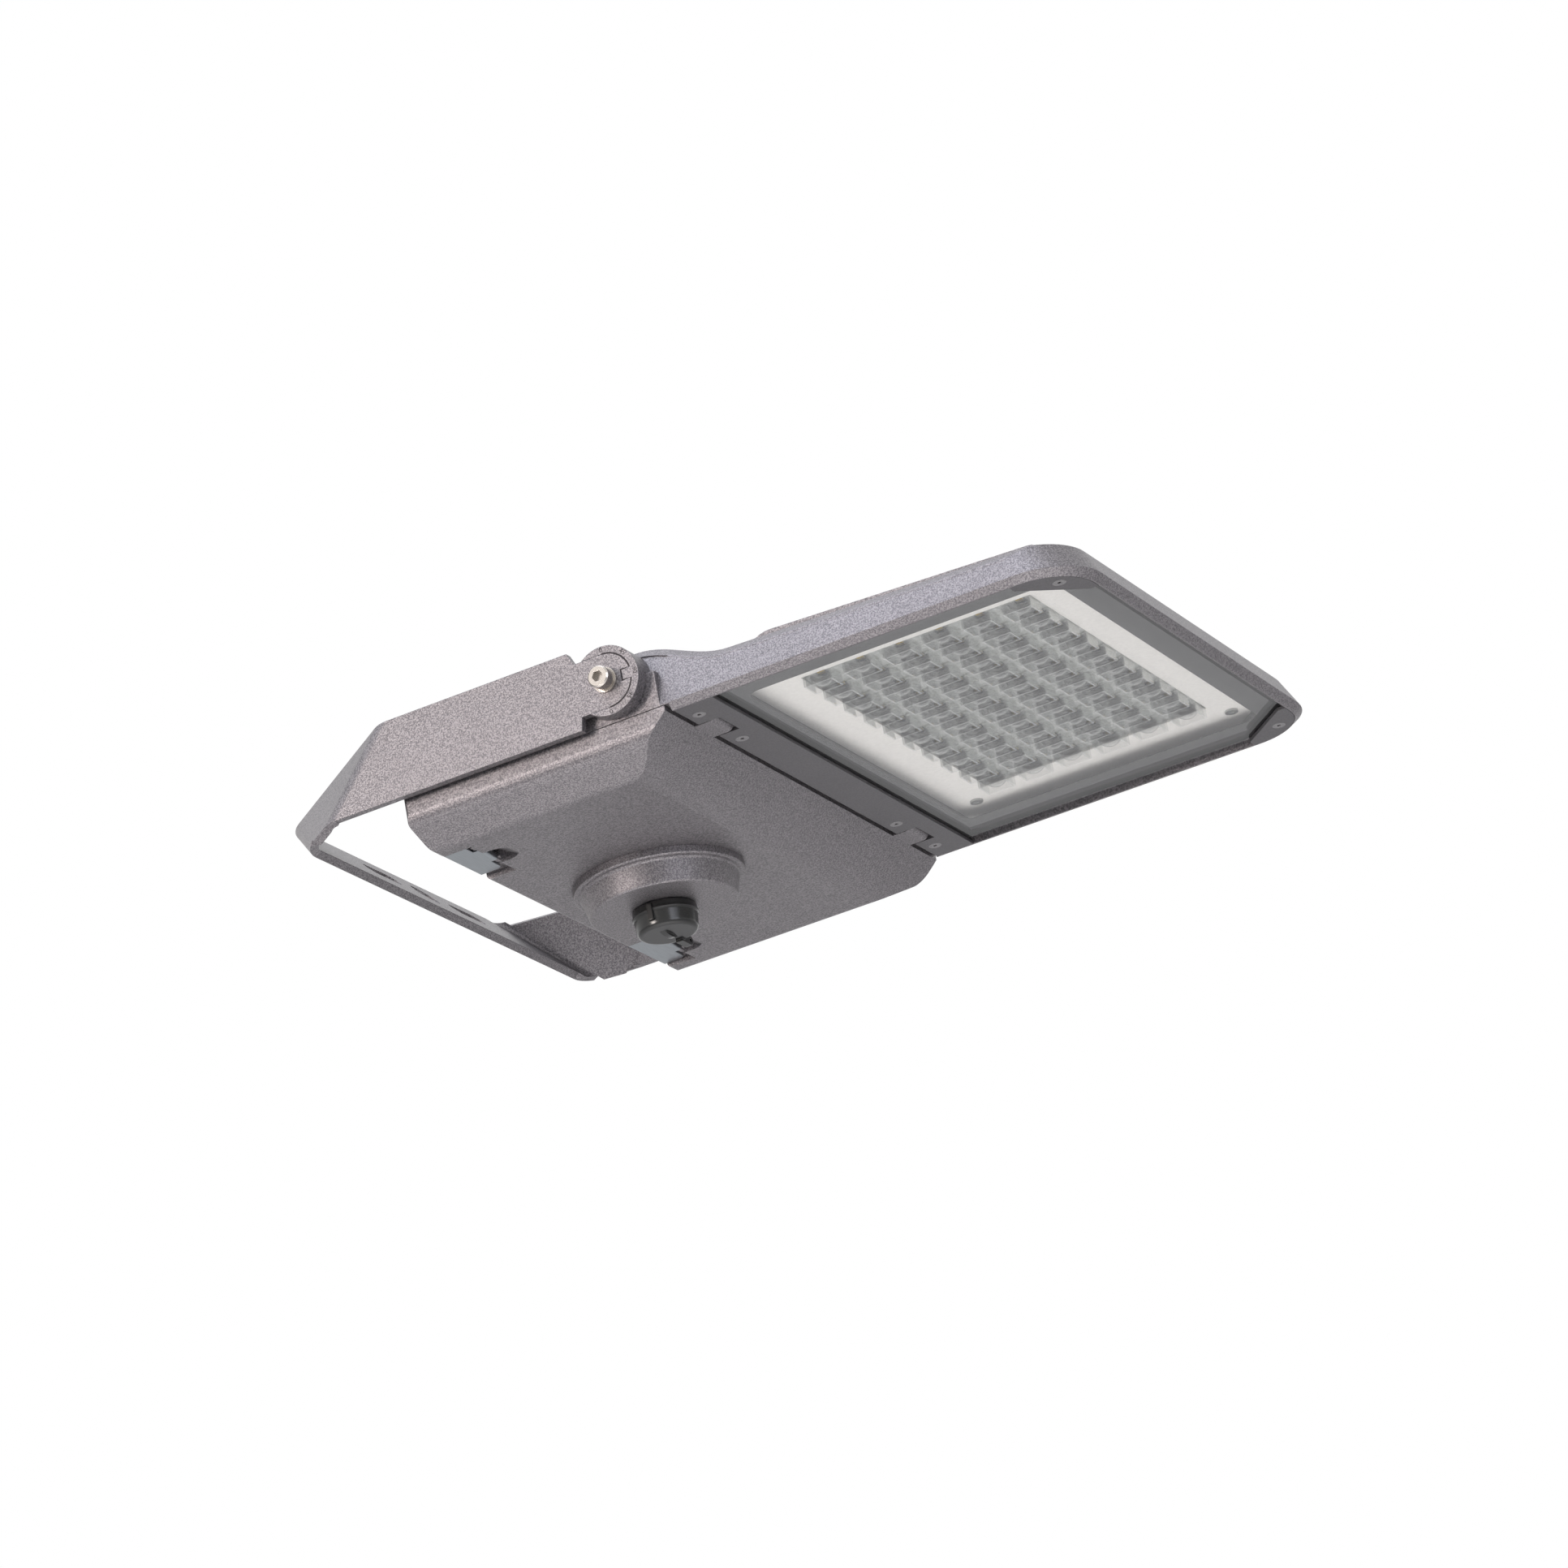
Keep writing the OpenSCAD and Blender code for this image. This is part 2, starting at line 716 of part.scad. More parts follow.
module housing() {
    color("#a3a4ad") place() difference() {
        union() {
            difference() {
                housing_outside();
                rear_room();
                optic_room();
                // The hinge plate's recess
                block([plate_back - 10, -half_w + rim_inset, -1],
                    [glass_back, half_w - rim_inset, plate_h + 0.1]);
            }
            // Bosses inside that the screws of the optics go into
            panel_screw_places() translate([0, 0, panel_z + panel_t + 0.1])
                cylinder(d = 10, h = ceiling_z - panel_z);
            // Posts for the gear tray
            both_sides() for (p = gear_posts) translate([p[0], p[1], tray_z + 1.5])
                cylinder(d = 12, h = roof_z - tray_z - 6);
            // Bosses of the pivots, through the room for the gear
            both_sides() rod_y(24, -pivot_x, pivot_z, half_w - pivot_boss_len, half_w - 5);
            // Backing behind the latch recesses
            both_sides() block([-rear_len + wall - 1, latch_y - 28, rear_bottom],
                [-rear_len + wall + 2, latch_y + 28, latch_leg_top + 8]);
        }
        both_sides() {
            knuckle_room();
            latch_leg_room();
            rod_y(pivot_d + 2 * run_gap, -pivot_x, pivot_z, half_w - pivot_boss_len - eps,
                half_w + eps);
            rod_y(hinge_pin_d + 2 * run_gap, -hinge_x, hinge_z(), knuckle_y - knuckle_w / 2 - 6,
                knuckle_y + knuckle_w / 2 + 6);
            for (p = gear_posts) translate([p[0], p[1], tray_z])
                cylinder(d = m4_d + 2 * run_gap, h = 12);
        }
        panel_screw_places() translate([0, 0, panel_z]) cylinder(d = m4_d + 2 * run_gap, h = 7);
        clamp_screw_places() cylinder(d = m4_d + 2 * run_gap, h = ceiling_z);
        hinge_screw_places() cylinder(d = m4_d + 2 * run_gap, h = 12);
        translate([-rear_len - 1, gland_y, wall_fitting_z]) rotate([0, 90, 0])
            cylinder(d = gland_d + 2 * run_gap, h = wall + 2);
        translate([-rear_len - 1, vent_y, wall_fitting_z]) rotate([0, 90, 0])
            cylinder(d = vent_d + 2 * run_gap, h = wall + 2);
    }
}

// Glass and optics

module front_glass() {
    color("#cfe3e0", 0.35) place() translate([0, 0, glass_recess]) linear_extrude(glass_t)
        glass_plan(rim_inset + 0.3, glass_back, clamp_line + 6);
}

module glass_gasket() {
    color("#303030") place() translate([0, 0, glass_top]) linear_extrude(gasket_t)
        difference() {
            glass_plan(rim_inset + 0.5, glass_back + 0.2, clamp_line + 5);
            glass_plan(optic_inset - 0.3, optic_back - 0.3, clamp_line - 2.5);
        }
}

lens_window = [lens_plate[0] - lens_pitch + lens_l + 1.2,
    lens_plate[1] - lens_pitch + lens_w + 1.2];

module reflector_panel() {
    color("#e8e6e0") place() difference() {
        translate([0, 0, panel_z]) linear_extrude(panel_t) difference() {
            intersection() {
                glass_plan(optic_inset + 0.4, optic_back, clamp_line - 3.6);
                translate([optic_back + 0.4, -half_w]) square([front_len, 2 * half_w]);
            }
            translate([array_x, 0]) square(lens_window, center = true);
        }
        panel_screw_places() translate([0, 0, panel_z - eps])
            cylinder(d = m4_d + 2 * seat_gap, h = panel_t + 2 * eps);
    }
}

module panel_screws() {
    color("#c8c8c8") place() panel_screw_places() translate([0, 0, panel_z - 1.2])
        rotate([180, 0, 0]) cheese_head(m4_head_d, 1.2, m4_d, 7);
}

module led_board() {
    color("#f2f2ee") place() translate([array_x, 0, board_z + board_t / 2])
        cube([lens_plate[0] + 2, lens_plate[1] + 2, board_t], center = true);
}

module lens_places(col) {
    x = array_x + (col - (lens_cols - 1) / 2) * lens_pitch;
    for (i = [0:lens_rows - 1])
        translate([x, (i - (lens_rows - 1) / 2) * lens_pitch, 0]) children();
}

led_h = 0.9;

module led_packages() {
    color("#f0d040") place() for (c = [0:lens_cols - 1]) lens_places(c)
        translate([0, 0, board_z - led_h / 2]) cube([led_s, led_s, led_h], center = true);
}

lens_low = panel_z - lens_h;
lens_bump = 8;
lens_floor = lens_face_z - 1.4;
lens_hollow = 3.4;

// One lens: a rectangular rim with a rounded bump inside it
module lens() {
    translate([-lens_l / 2, -lens_w / 2, lens_low]) difference() {
        cube([lens_l, lens_w, lens_face_z + 0.5 - lens_low]);
        translate([lens_wall, lens_wall, -1])
            cube([lens_l - 2 * lens_wall, lens_w - 2 * lens_wall, lens_floor - lens_low + 1]);
    }
    intersection() {
        translate([0, 0, lens_low + 0.4 + lens_bump]) sphere(lens_bump);
        translate([-6, -4.8, lens_low]) cube([12, 9.6, lens_face_z - lens_low]);
    }
}

module lens_strip(col) {
    x = array_x + (col - (lens_cols - 1) / 2) * lens_pitch;
    color("#e6eef0", 0.6) place() difference() {
        union() {
            translate([x, 0, lens_face_z + lens_base_t / 2])
                cube([lens_pitch - 0.4, lens_plate[1], lens_base_t], center = true);
            lens_places(col) lens();
        }
        lens_places(col) translate([0, 0, lens_face_z + lens_base_t]) sphere(lens_hollow);
    }
}

module lens_strip_1() {
    lens_strip(0);
}

module lens_strip_2() {
    lens_strip(1);
}

module lens_strip_3() {
    lens_strip(2);
}

module lens_strip_4() {
    lens_strip(3);
}

module lens_strip_5() {
    lens_strip(4);
}

module lens_strip_6() {
    lens_strip(5);
}

// The clamp's ends stop short of the lines of its slanted edge
clamp_end = [front_len - 43, 131];

module corner_clamp() {
    difference() {
        linear_extrude(plate_h) difference() {
            intersection() {
                nose_plan(rim_inset + 0.3, clamp_end[0]);
                translate([clamp_end[0], clamp_end[1]]) square([60, half_w]);
            }
            corner_cut(clamp_line);
        }
        translate([clamp_screw[0], clamp_screw[1], 0]) {
            translate([0, 0, -eps]) cylinder(d = m4_d + 2 * seat_gap, h = 10);
            translate([0, 0, -seat_gap / 2])
                cylinder(d1 = m4_head_d + 0.4, d2 = m4_d + 0.4, h = (m4_head_d - m4_d) / 2);
        }
    }
}

module corner_clamp_near() {
    color("#707074") place() mirror([0, 1, 0]) corner_clamp();
}

module corner_clamp_far() {
    color("#707074") place() corner_clamp();
}

module clamp_screws() {
    color("#b8bab8") place() clamp_screw_places() countersunk(m4_head_d, m4_d, 14);
}

module hinge_plate() {
    y = half_w - rim_inset - 0.3;
    color("#78787c") place() difference() {
        block([plate_back, -y, 0], [-0.8, y, plate_h]);
        both_sides() knuckle_room();
        hinge_screw_places() {
            translate([0, 0, -eps]) cylinder(d = m4_d + 2 * seat_gap, h = 10);
            translate([0, 0, -seat_gap / 2])
                cylinder(d1 = m4_head_d + 0.4, d2 = m4_d + 0.4, h = (m4_head_d - m4_d) / 2);
        }
    }
}

module hinge_plate_screws() {
    color("#b8bab8") place() hinge_screw_places() countersunk(m4_head_d, m4_d, 10);
}

module hinge_pins() {
    color("#b0b0ae") place() both_sides() rod_y(hinge_pin_d, -hinge_x, hinge_z(),
        knuckle_y - knuckle_w / 2 - 5.5, knuckle_y + knuckle_w / 2 + 5.5);
}

// Control gear

module gear_tray() {
    color("#c4c6c8") place() difference() {
        block([tray_back, -tray_half, tray_z], [tray_front, tray_half, tray_z + 1.5]);
        both_sides() for (p = gear_posts) translate([p[0], p[1], tray_z - eps])
            cylinder(d = m4_d + 2 * seat_gap, h = 3);
    }
}

module tray_screws() {
    color("#c0c0c0") place() both_sides() for (p = gear_posts)
        translate([p[0], p[1], tray_z - 2.5]) rotate([180, 0, 0]) cheese_head(7, 2.5, m4_d, 10);
}

module led_driver() {
    color("#d8d8d4") place() {
        block([gear_mid - 50, -100, tray_z - 31], [gear_mid + 50, -35, tray_z]);
        block([gear_mid - 60, -92, tray_z - 3], [gear_mid + 60, -43, tray_z]);
    }
}

module surge_protector() {
    color("#8a2f2a") place() block([gear_mid - 53, -18, tray_z - 27], [gear_mid - 3, 18, tray_z]);
}

module terminal_block() {
    color("#efefe8") place() difference() {
        block([gear_mid + 7, 32, tray_z - 16], [gear_mid + 27, 82, tray_z]);
        for (i = [0:4]) translate([gear_mid + 17, 37 + 10 * i, tray_z - 17]) cylinder(d = 5, h = 8);
    }
}

module cable_gland() {
    color("#2c2c2e") place() translate([-rear_len, gland_y, wall_fitting_z])
        rotate([0, -90, 0]) difference() {
            union() {
                translate([0, 0, -wall - 7]) cylinder(d = gland_d, h = wall + 7);
                cylinder(d = 27.7, h = 5.5, $fn = 6);
                translate([0, 0, 5.5]) cylinder(d = 23, h = 9);
                translate([0, 0, 14.5]) cylinder(d1 = 23, d2 = 17, h = 4);
            }
            translate([0, 0, -wall - 8]) cylinder(d = 10, h = 40);
        }
}

module gland_nut() {
    color("#2c2c2e") place() translate([-rear_len + wall, gland_y, wall_fitting_z])
        rotate([0, 90, 0]) difference() {
            cylinder(d = 27.7, h = 5, $fn = 6);
            translate([0, 0, -eps]) cylinder(d = gland_d + 2 * run_gap, h = 5 + 2 * eps);
        }
}

module vent_plug() {
    color("#2c2c2e") place() translate([-rear_len, vent_y, wall_fitting_z])
        rotate([0, -90, 0]) {
            translate([0, 0, -wall - 5]) cylinder(d = vent_d, h = wall + 5);
            cylinder(d = 18, h = 4);
        }
}

// Door

door_front = -hinge_x - 8.5;
skirt_r = 8;

// Points of a round of radius r in the corner p between directions a0 and a1 of its outward side
function round_points(p, r, a0, a1, n = 5) = [for (i = [0:n]) let (a = a0 + (a1 - a0) * i / n)
    [p[0] + r * cos(a), p[1] + r * sin(a)]];

module door_section(inset) {
    s = door_side_slope;
    y = half_w - inset;
    floor_z = -door_depth + inset;
    turn = seam_z - door_skirt;
    // Centre of the round between the skirt and the slope, kept for every inset
    cy = half_w - skirt_r;
    cz = turn + skirt_r * tan(45 - s / 2);
    // Centre of the round between the slope and the flat bottom
    flat_y = half_w - (door_depth + turn) / tan(s);
    ey = flat_y - door_edge_r * tan(s / 2);
    ez = -door_depth + door_edge_r;
    half = concat([[y, seam_z + 1]],
        round_points([cy, cz], skirt_r - inset, 0, s - 90),
        round_points([ey, ez], door_edge_r - inset, s - 90, -90));
    polygon(concat(half, [for (i = [len(half) - 1:-1:0]) [-half[i][0], half[i][1]]]));
}

module door_profile(inset) {
    x1 = door_front - inset;
    x0 = -rear_len + inset;
    depth = door_depth - inset;
    r = 3;
    polygon(concat([[x1, seam_z + 1]],
        [for (i = [0:10]) [x1 - door_ramp * i / 10, -depth * (1 - pow(1 - i / 10, 1.6))]],
        round_points([x0 + r, -depth + r], r, -90, -180, 4), [[x0, seam_z + 1]]));
}

module door_shape(inset) {
    intersection() {
        along_x(-rear_len - 1, 0) door_section(inset);
        along_y(-half_w - 1, half_w + 1) door_profile(inset);
        translate([0, 0, -door_depth - 1]) linear_extrude(door_depth + seam_z + 1)
            rear_plan(inset, door_front + 1);
    }
}

latch_out_z = -door_depth + 2.6;
latch_proud = 2;
latch_pin_x = -rear_len - latch_proud + latch_l + 2.2;
latch_pin_z = latch_out_z + barrel_r;
recess_front = latch_pin_x + 4;
recess_top = latch_out_z + latch_t + 0.3;
scoop_len = 18;

// What is cut for a latch out of the door's underside
module latch_recess() {
    w0 = latch_y - latch_w / 2 - 4.5;
    w1 = latch_y + latch_w / 2 + 1;
    block([-rear_len - 1, w0, -door_depth - 1], [recess_front, w1, recess_top]);
    y0 = latch_y - barrel_w / 2;
    translate([0, 0, -door_depth - 1]) intersection() {
        linear_extrude(20) {
            translate([latch_pin_x - 3.4, y0]) square([scoop_len - 5.6, barrel_w]);
            translate([latch_pin_x + scoop_len - 9, latch_y]) scale([1, 1])
                intersection() {
                    circle(d = barrel_w);
                    translate([0, -barrel_w / 2]) square(barrel_w);
                }
        }
        along_y(y0 - 1, y0 + barrel_w + 1)
            polygon([[latch_pin_x - 4, -1], [latch_pin_x - 4, 9.5], [latch_pin_x + 4, 9.5],
                [latch_pin_x + scoop_len + 4, -1]]);
    }
}

module latch_blister() {
    w0 = latch_y - latch_w / 2 - 7.5;
    w1 = latch_y + latch_w / 2 + 4;
    intersection() {
        door_shape(0.2);
        union() {
            block([-rear_len, w0, -door_depth], [recess_front + 3, w1, recess_top + 3]);
            block([-rear_len, w0, -door_depth], [-rear_len + latch_t + 3, w1, gasket_shelf]);
            block([latch_pin_x - 7, latch_y - barrel_w / 2 - 3, -door_depth],
                [latch_pin_x + scoop_len, latch_y + barrel_w / 2 + 3, -door_depth + 11.5]);
        }
    }
}

gasket_shelf = 0.5;
dome_screw_r = 42.6;

module dome_places(r, n, start = 45) {
    translate([-dome_x, dome_y, -door_depth])
        for (i = [0:n - 1]) rotate([0, 0, start + 360 * i / n]) translate([r, 0, 0]) children();
}

module door() {
    color("#9b9794") place() difference() {
        union() {
            difference() {
                door_shape(0);
                door_shape(door_wall);
                block([-rear_len - 1, -half_w, seam_z], [0, half_w, seam_z + 5]);
            }
            // Shelf for the gasket
            intersection() {
                door_shape(1);
                translate([0, 0, -2.5]) linear_extrude(gasket_shelf + 2.5) difference() {
                    rear_plan(1, door_front - 1);
                    rear_plan(7.2, door_front - 7.2);
                }
            }
            both_sides() {
                latch_blister();
                y0 = knuckle_y - knuckle_w / 2;
                rod_y(2 * knuckle_r, -hinge_x, hinge_z(), y0, y0 + knuckle_w);
                block([-hinge_x - 10, y0, 0], [-hinge_x, y0 + knuckle_w, hinge_z() - 1.5]);
            }
        }
        both_sides() {
            y0 = knuckle_y - knuckle_w / 2 - eps;
            rod_y(hinge_pin_d + 2 * run_gap, -hinge_x, hinge_z(), y0, y0 + knuckle_w + 2 * eps);
            difference() {
                latch_recess();
                for (s = [-1, 1]) translate([0, latch_y + s * (barrel_w / 2 + 2.7), 0]) {
                    rod_y(2 * latch_pin_d - 0.6, latch_pin_x, latch_pin_z, -2.4, 2.4);
                    block([latch_pin_x - 1.4, -2.4, latch_pin_z],
                        [latch_pin_x + 2.7, 2.4, recess_top + 1]);
                }
            }
            latch_leg_room();
            rod_y(latch_pin_d + 2 * run_gap, latch_pin_x, latch_pin_z,
                latch_y - barrel_w / 2 - 7, latch_y + barrel_w / 2 + 7);
        }
        translate([-dome_x, dome_y, -door_depth - 1]) cylinder(r = 34, h = door_wall + 4);
        dome_places(dome_screw_r, 4) translate([0, 0, -1])
            cylinder(d = m4_d + 2 * run_gap, h = door_wall + 4);
    }
}

module door_gasket() {
    color("#2a2a2a") place() translate([0, 0, gasket_shelf])
        linear_extrude(rear_bottom - gasket_shelf - 0.05) difference() {
            rear_plan(3.3, door_front - 3.3);
            rear_plan(7, door_front - 7);
        }
}

// Dome and daylight socket

module dome_at() {
    translate([-dome_x, dome_y, -door_depth]) children();
}

module socket_dome() {
    f = dome_flange_r;
    r = dome_r;
    h = dome_h;
    color("#8d8b8f") place() difference() {
        dome_at() rotate_extrude($fn = 128) polygon(concat(
            [[r - 5, 0], [f, 0], [f, -4.2], [f - 0.6, -4.9], [f - 1.6, -5.2], [f - 3.1, -5.2],
             [f - 3.3, -5.8], [f - 4.2, -6.6]],
            [for (i = [0:4]) let (a = 90 * i / 4)
                [r - 1.6 + 1.6 * cos(a), -h + 1.6 - 1.6 * sin(a)]],
            [[neck_r + run_gap, -h], [neck_r + run_gap, -h + 3], [r - 5, -h + 3]]));
        dome_at() translate([0, 0, -0.8]) difference() {
            cylinder(r = f - 1.2, h = 2);
            translate([0, 0, -eps]) cylinder(r = f - 3.8, h = 3);
        }
        dome_places(dome_screw_r, 4) translate([0, 0, -9])
            cylinder(d = m4_d + 2 * run_gap, h = 10);
    }
}

module dome_gasket() {
    color("#2a2a2a") place() dome_at() translate([0, 0, -0.8]) difference() {
        cylinder(r = dome_flange_r - 1.3, h = 0.8);
        translate([0, 0, -eps]) cylinder(r = dome_flange_r - 3.7, h = 2);
    }
}

module dome_screws() {
    color("#b8bab8") place() dome_places(dome_screw_r, 4)
        translate([0, 0, door_wall + 2.4]) cheese_head(7, 2.4, m4_d, 10);
}

socket_len = 12;
cap_top = -dome_h - 0.4;

module socket_base() {
    color("#262626") place() dome_at() {
        translate([0, 0, -dome_h + 3]) cylinder(r = neck_r + 10, h = 12);
        translate([0, 0, -dome_h - socket_len]) cylinder(r = neck_r, h = socket_len + 4);
    }
}

module socket_cap() {
    r = cap_r;
    low = cap_top - cap_h;
    rib = 1.7;
    color("#1e1e1e") place() dome_at() difference() {
        union() {
            rotate_extrude() polygon(concat(
                [[0, cap_top], [r - 0.9, cap_top], [r - 0.7, cap_top - 0.8],
                 [r - 0.7, cap_top - 3.2], [r - 0.1, cap_top - 3.8], [r, cap_top - 4.6],
                 [r - 0.5, cap_top - 5.2], [r - 0.9, cap_top - 6]],
                [for (i = [0:5]) let (a = 90 * i / 5)
                    [r - 4.6 + 3 * cos(a), low + 3 - 3 * sin(a)]],
                [[0, low]]));
            block([-rib, -r - 0.9, low + 4], [rib, r + 0.9, cap_top - 1.5]);
            intersection() {
                block([-rib, -r - 0.9, low - 1.7], [rib, r + 0.9, low + 5]);
                rod_x(2 * r + 1.8, low - 1.7 + r + 0.9, rib);
            }
            rod_eye(r, low);
        }
        translate([0, 0, cap_top - socket_len]) cylinder(r = neck_r + run_gap, h = socket_len + 1);
        translate([-5, r + 4.2, low + 1.5]) rotate([0, 90, 0]) cylinder(d = 2.4, h = 10);
    }
}

// A rod along X, centred, its middle at height z
module rod_x(d, z, half) {
    translate([-half, 0, z]) rotate([0, 90, 0]) cylinder(d = d, h = 2 * half);
}

// The eye for the cap's strap
module rod_eye(r, low) {
    translate([-2.2, r + 4.2, low + 1.5]) rotate([0, 90, 0]) cylinder(d = 6, h = 4.4);
    block([-2.2, r - 7, low - 1.5], [2.2, r + 4.2, low + 4.5]);
}

// Latches

module latch_pins() {
    color("#c4c6c6") place() both_sides() rod_y(latch_pin_d, latch_pin_x, latch_pin_z,
        latch_y - barrel_w / 2 - 6.5, latch_y + barrel_w / 2 + 6.5);
}

module latch() {
    xr = -rear_len - latch_proud;
    xf = xr + latch_l;
    zb = latch_out_z;
    t = latch_t;
    zt = latch_leg_top;
    y0 = latch_y - latch_w / 2;
    corner = 4;
    difference() {
        union() {
            intersection() {
                along_y(y0, y0 + latch_w)
                    polygon([[xf, zb], [xr + 1, zb], [xr, zb + 1], [xr, zt], [xr - 2.4, zt + 2.4],
                        [xr - 1.4, zt + 3.4], [xr + t, zt + 0.6], [xr + t, zb + t + 0.5],
                        [xr + t + 0.5, zb + t], [xf, zb + t]]);
                translate([0, 0, zb - 1]) linear_extrude(60) {
                    translate([xr - 10, y0]) square([10 + latch_l - corner, latch_w]);
                    translate([xf - corner - 1, y0 + corner])
                        square([corner + 1, latch_w - 2 * corner]);
                    for (y = [y0 + corner, y0 + latch_w - corner])
                        translate([xf - corner, y]) circle(corner);
                }
            }
            block([xf - 1, latch_y - barrel_w / 2 + 0.3, zb],
                [latch_pin_x, latch_y + barrel_w / 2 - 0.3, zb + t]);
            rod_y(2 * barrel_r, latch_pin_x, latch_pin_z, latch_y - barrel_w / 2 + 0.3,
                latch_y + barrel_w / 2 - 0.3);
            // The bead that snaps over the casting
            rod_y(1.4, xr + t, zt - 3, latch_y - 12, latch_y + 12);
        }
        rod_y(latch_pin_d + 2 * run_gap, latch_pin_x, latch_pin_z, latch_y - barrel_w,
            latch_y + barrel_w);
    }
}

module latch_near() {
    color("#8d9294") place() mirror([0, 1, 0]) latch();
}

module latch_far() {
    color("#8d9294") place() latch();
}

bracket();
scale_disc_near();
scale_disc_far();
pivot_screws();
pivot_washers();
housing();
front_glass();
glass_gasket();
reflector_panel();
led_board();
led_packages();
lens_strip_1();
lens_strip_2();
lens_strip_3();
lens_strip_4();
lens_strip_5();
lens_strip_6();
panel_screws();
corner_clamp_near();
corner_clamp_far();
clamp_screws();
hinge_plate();
hinge_plate_screws();
hinge_pins();
gear_tray();
tray_screws();
led_driver();
terminal_block();
surge_protector();
cable_gland();
gland_nut();
vent_plug();
door();
door_gasket();
socket_dome();
dome_gasket();
dome_screws();
socket_base();
socket_cap();
latch_pins();
latch_near();
latch_far();
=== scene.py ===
import math

import bmesh
import bpy
from mathutils import Matrix, Vector


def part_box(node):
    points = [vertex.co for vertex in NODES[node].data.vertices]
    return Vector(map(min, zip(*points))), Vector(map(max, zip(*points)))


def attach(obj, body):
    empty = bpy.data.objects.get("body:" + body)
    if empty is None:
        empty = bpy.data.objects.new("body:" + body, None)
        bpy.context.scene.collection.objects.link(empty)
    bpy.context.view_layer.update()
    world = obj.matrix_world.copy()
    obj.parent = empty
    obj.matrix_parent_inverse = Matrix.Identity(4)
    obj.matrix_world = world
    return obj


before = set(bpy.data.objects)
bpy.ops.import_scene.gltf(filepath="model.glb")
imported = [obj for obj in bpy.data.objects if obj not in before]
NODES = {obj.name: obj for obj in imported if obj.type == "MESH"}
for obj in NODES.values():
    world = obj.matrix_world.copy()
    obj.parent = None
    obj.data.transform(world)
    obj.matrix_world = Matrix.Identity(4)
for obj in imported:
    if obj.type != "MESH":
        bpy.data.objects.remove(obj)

bl_info = {
    "name": "LED floodlight",
    "version": (1, 0, 0),
    "blender": (4, 5, 0),
    "location": "View3D > Sidebar > Floodlight",
    "description": "Dresses the floodlight's solids with finishes, print, numbers and a studio",
    "category": "Object",
}

MM = 0.001
PLASTIC_IOR = 1.5
FILM = 0.03  # mm that print and numbers stand off the face that carries them
SCALE_ANGLES = ((90, "0"), (45, "45"), (0, "90"), (-45, "45"), (-90, "0"))
NUMBER_RADIUS = 18.8  # mm from the pivot to the middle of a number
ARM_END_RADIUS = 16.3  # mm, the arm's round end
KEYWAY_HALF, KEYWAY_DEPTH = 3.25, 6.0  # mm
GAP_HALF = 0.5  # mm, half of the painted shadow line's width
ARC_STEPS = 24
GLASS_EDGE = 0.4  # mm between the border print and the glass's edge
GLASS_CORNER, WINDOW_CORNER = 31, 8  # mm radius
PRINT_REAR = -3.6  # mm ahead of the hinge line
FLOOR_SIZE, FLOOR_Z = 60, -1.85  # m
FLOOR_GLOW = 0.26
SURROUND_LIGHT = 0.4
# Name, place in m, size in m, power in W, colour. The last one lights the floor, which then
# lights the lamp from below.
SOFTBOXES = (
    ("softbox_above", (-0.3, -1.0, 2.6), 2.6, 60, "#eaf0ff"),
    ("softbox_front", (-1.2, -3.2, 0.2), 0.9, 56, "#fff4ee"),
    ("softbox_side", (2.6, -1.6, 0.4), 1.6, 26, "#eef2ff"),
    ("floor_wash", (0.3, -0.4, -0.7), 1.8, 42, "#ffffff"),
)
# The photograph's camera: turn about Z, height angle and roll in degrees, focal length and
# frame in mm, and its place in the lamp's own frame in mm
CAMERA_TURN, CAMERA_HEIGHT, CAMERA_ROLL = 23.626, -21.152, -10.745
CAMERA_LENS, CAMERA_FRAME = 161.6, 36
CAMERA_PLACE = (1498.0, -3519.7, -1479.5)

GLASS_LOW, GLASS_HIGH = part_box("front_glass")
# The zero of the lamp's own frame: the line where hinge plate and glass meet, at the rim's
# underside. The glass starts 4 mm behind it and lies 2.3 mm above it.
ZERO = GLASS_LOW + Vector((4.0, 0, -2.3)) * MM
ZERO.y = 0
DISC_LOW, DISC_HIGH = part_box("scale_disc_far")
PIVOT = (DISC_LOW + DISC_HIGH) / 2


def lamp(x, y, z):
    """A point of the lamp's own frame, in millimetres, in the row frame."""
    return ZERO + Vector((x, y, z)) * MM


def linear(code):
    """An sRGB hex colour as linear RGBA."""
    parts = [int(code[i : i + 2], 16) / 255 for i in (1, 3, 5)]
    curve = [c / 12.92 if c <= 0.04045 else ((c + 0.055) / 1.055) ** 2.4 for c in parts]
    return (*curve, 1.0)


def add(tree, kind, settings=None, links=None):
    """Adds a node with its settings and links: inputs by name or number, others as attributes,
    and a colour ramp's two stops as (position, linear colour)."""
    made = tree.nodes.new(kind)
    for key, value in (settings or {}).items():
        if key == "stops":
            for element, (place, colour) in zip(made.color_ramp.elements, value):
                element.position = place
                element.color = colour
        elif isinstance(key, int) or key in made.inputs:
            made.inputs[key].default_value = value
        else:
            setattr(made, key, value)
    for key, source in (links or {}).items():
        tree.links.new(source, made.inputs[key])
    return made


def per_mm(size):
    """A noise texture's scale for features of this size in millimetres."""
    return 1.0 / (size * MM)


def shell(name):
    """A new material with its tree cleared and its Principled shader linked up."""
    material = bpy.data.materials.new(name)
    material.use_nodes = True
    tree = material.node_tree
    tree.nodes.clear()
    shader = add(tree, "ShaderNodeBsdfPrincipled")
    add(tree, "ShaderNodeOutputMaterial", links={"Surface": shader.outputs["BSDF"]})
    return material, tree, shader


